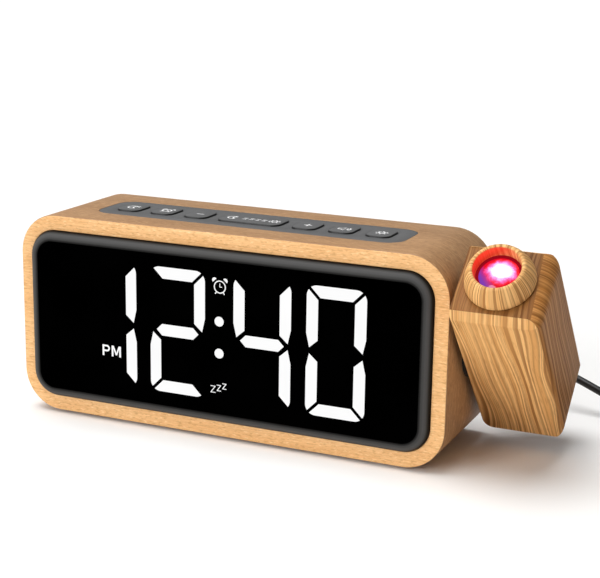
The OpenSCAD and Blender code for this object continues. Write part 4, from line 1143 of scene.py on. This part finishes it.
beechFace = beechMaterial(
    "beechFace", beech["pale"], beech["deep"], beech["fleck"], beech["shine"], (430, 1500, 1), 0.55)
beechWrap = beechMaterial(
    "beechWrap", beech["wrapPale"], beech["wrapDeep"], beech["wrapFleck"], beech["wrapShine"],
    (330, 1500, 1), 0.5, 0.5)
makeCaseWrap(beechFace, beechWrap, mouldedMaterial("caseInside", (0.05, 0.05, 0.05), 0.6))
windowFlat = flatWindowMaterial()
makeWindow(rimMaterial(), windowFlat)
digitLight = lightMaterial("digitLight", (1, 1, 1), 1.0)
for node, edge in lightEdges.items():
    makeLights(node, edge, digitLight, windowFlat)
print("case and window made")

makeKeyStrip(mouldedMaterial("stripGrey", (0.125, 0.126, 0.127), 0.55, specular=0.3))
# The keys' sides are painted near-black shade
makeKeys(
    mouldedMaterial("keyGrey", (0.125, 0.126, 0.127), 0.55, specular=0.3),
    mouldedMaterial("keyPaintedShade", (0.012, 0.012, 0.012)))
makeIcons(mouldedMaterial("printWhite", (0.95, 0.95, 0.95), 0.6, specular=0.3))
print("keys made")

headWood = stripedMaterial("headWood")
makeHead(headWood)
makeNozzle(headWood)
makeLens(lensMaterial())
print("head made")

# Finishes for the part's own nodes, most of them inside
nodeFinishes = [
    (mouldedMaterial("filmWhite", (0.85, 0.85, 0.85), 0.6), ["diffuser_film", "segment_reflector"]),
    (boardMaterial(), ["display_board", "main_board", "key_board", "projector_board"]),
    (mouldedMaterial("chipBlack", (0.02, 0.02, 0.02), 0.45), ["board_chips", "dc_socket", "head_cable"]),
    (mouldedMaterial("ivoryPlastic", (0.75, 0.7, 0.55), 0.45), ["cable_socket", "cell_holder"]),
    (steelMaterial("screwSteel"), [
        "board_screws", "rear_screws", "head_screws", "coin_cell", "key_switches", "pivot_spring",
        "pivot_clip", "focus_retainer"]),
    (mouldedMaterial("speakerBlack", (0.04, 0.04, 0.04), 0.7, 2000, 0.3), ["speaker"]),
    (mouldedMaterial("rearBrown", (0.16, 0.085, 0.045)), ["rear_cover", "battery_door", "head_cover"]),
    (mouldedMaterial("pivotBlack", (0.012, 0.012, 0.012), 0.45), ["pivot_bush", "pivot_shaft", "optics_tube"]),
    (rubberMaterial("keyRubber", (0.35, 0.35, 0.35), 0.6), ["key_mat"]),
    (rubberMaterial("footRubber", (0.02, 0.02, 0.02), 0.8), ["foot_pad", "pivot_washer"]),
    (glassMaterial("clearGlass"), ["condenser_lens"]),
    (glassMaterial("slideGlass", (0.2, 0.2, 0.25)), ["image_slide"]),
    # The lens barrel and its retainer are no lamps: they glow with painted red light
    (lightMaterial("paintedGlowRing", (0.30, 0.004, 0.01), 1.0), ["lens_barrel", "lens_retainer"]),
    (lightMaterial("redLight", (1.0, 0.05, 0.03), 1.0), ["projector_led"]),
    (lightMaterial("whiteLight", (1.0, 0.97, 0.8), 0.6), ["display_leds"])]
for finish, nodes in nodeFinishes:
    for node in nodes:
        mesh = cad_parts[node].data
        mesh.materials.clear()
        mesh.materials.append(finish)
print("nodes finished")

makeStudio()
bpy.context.scene.view_settings.view_transform = "Standard"
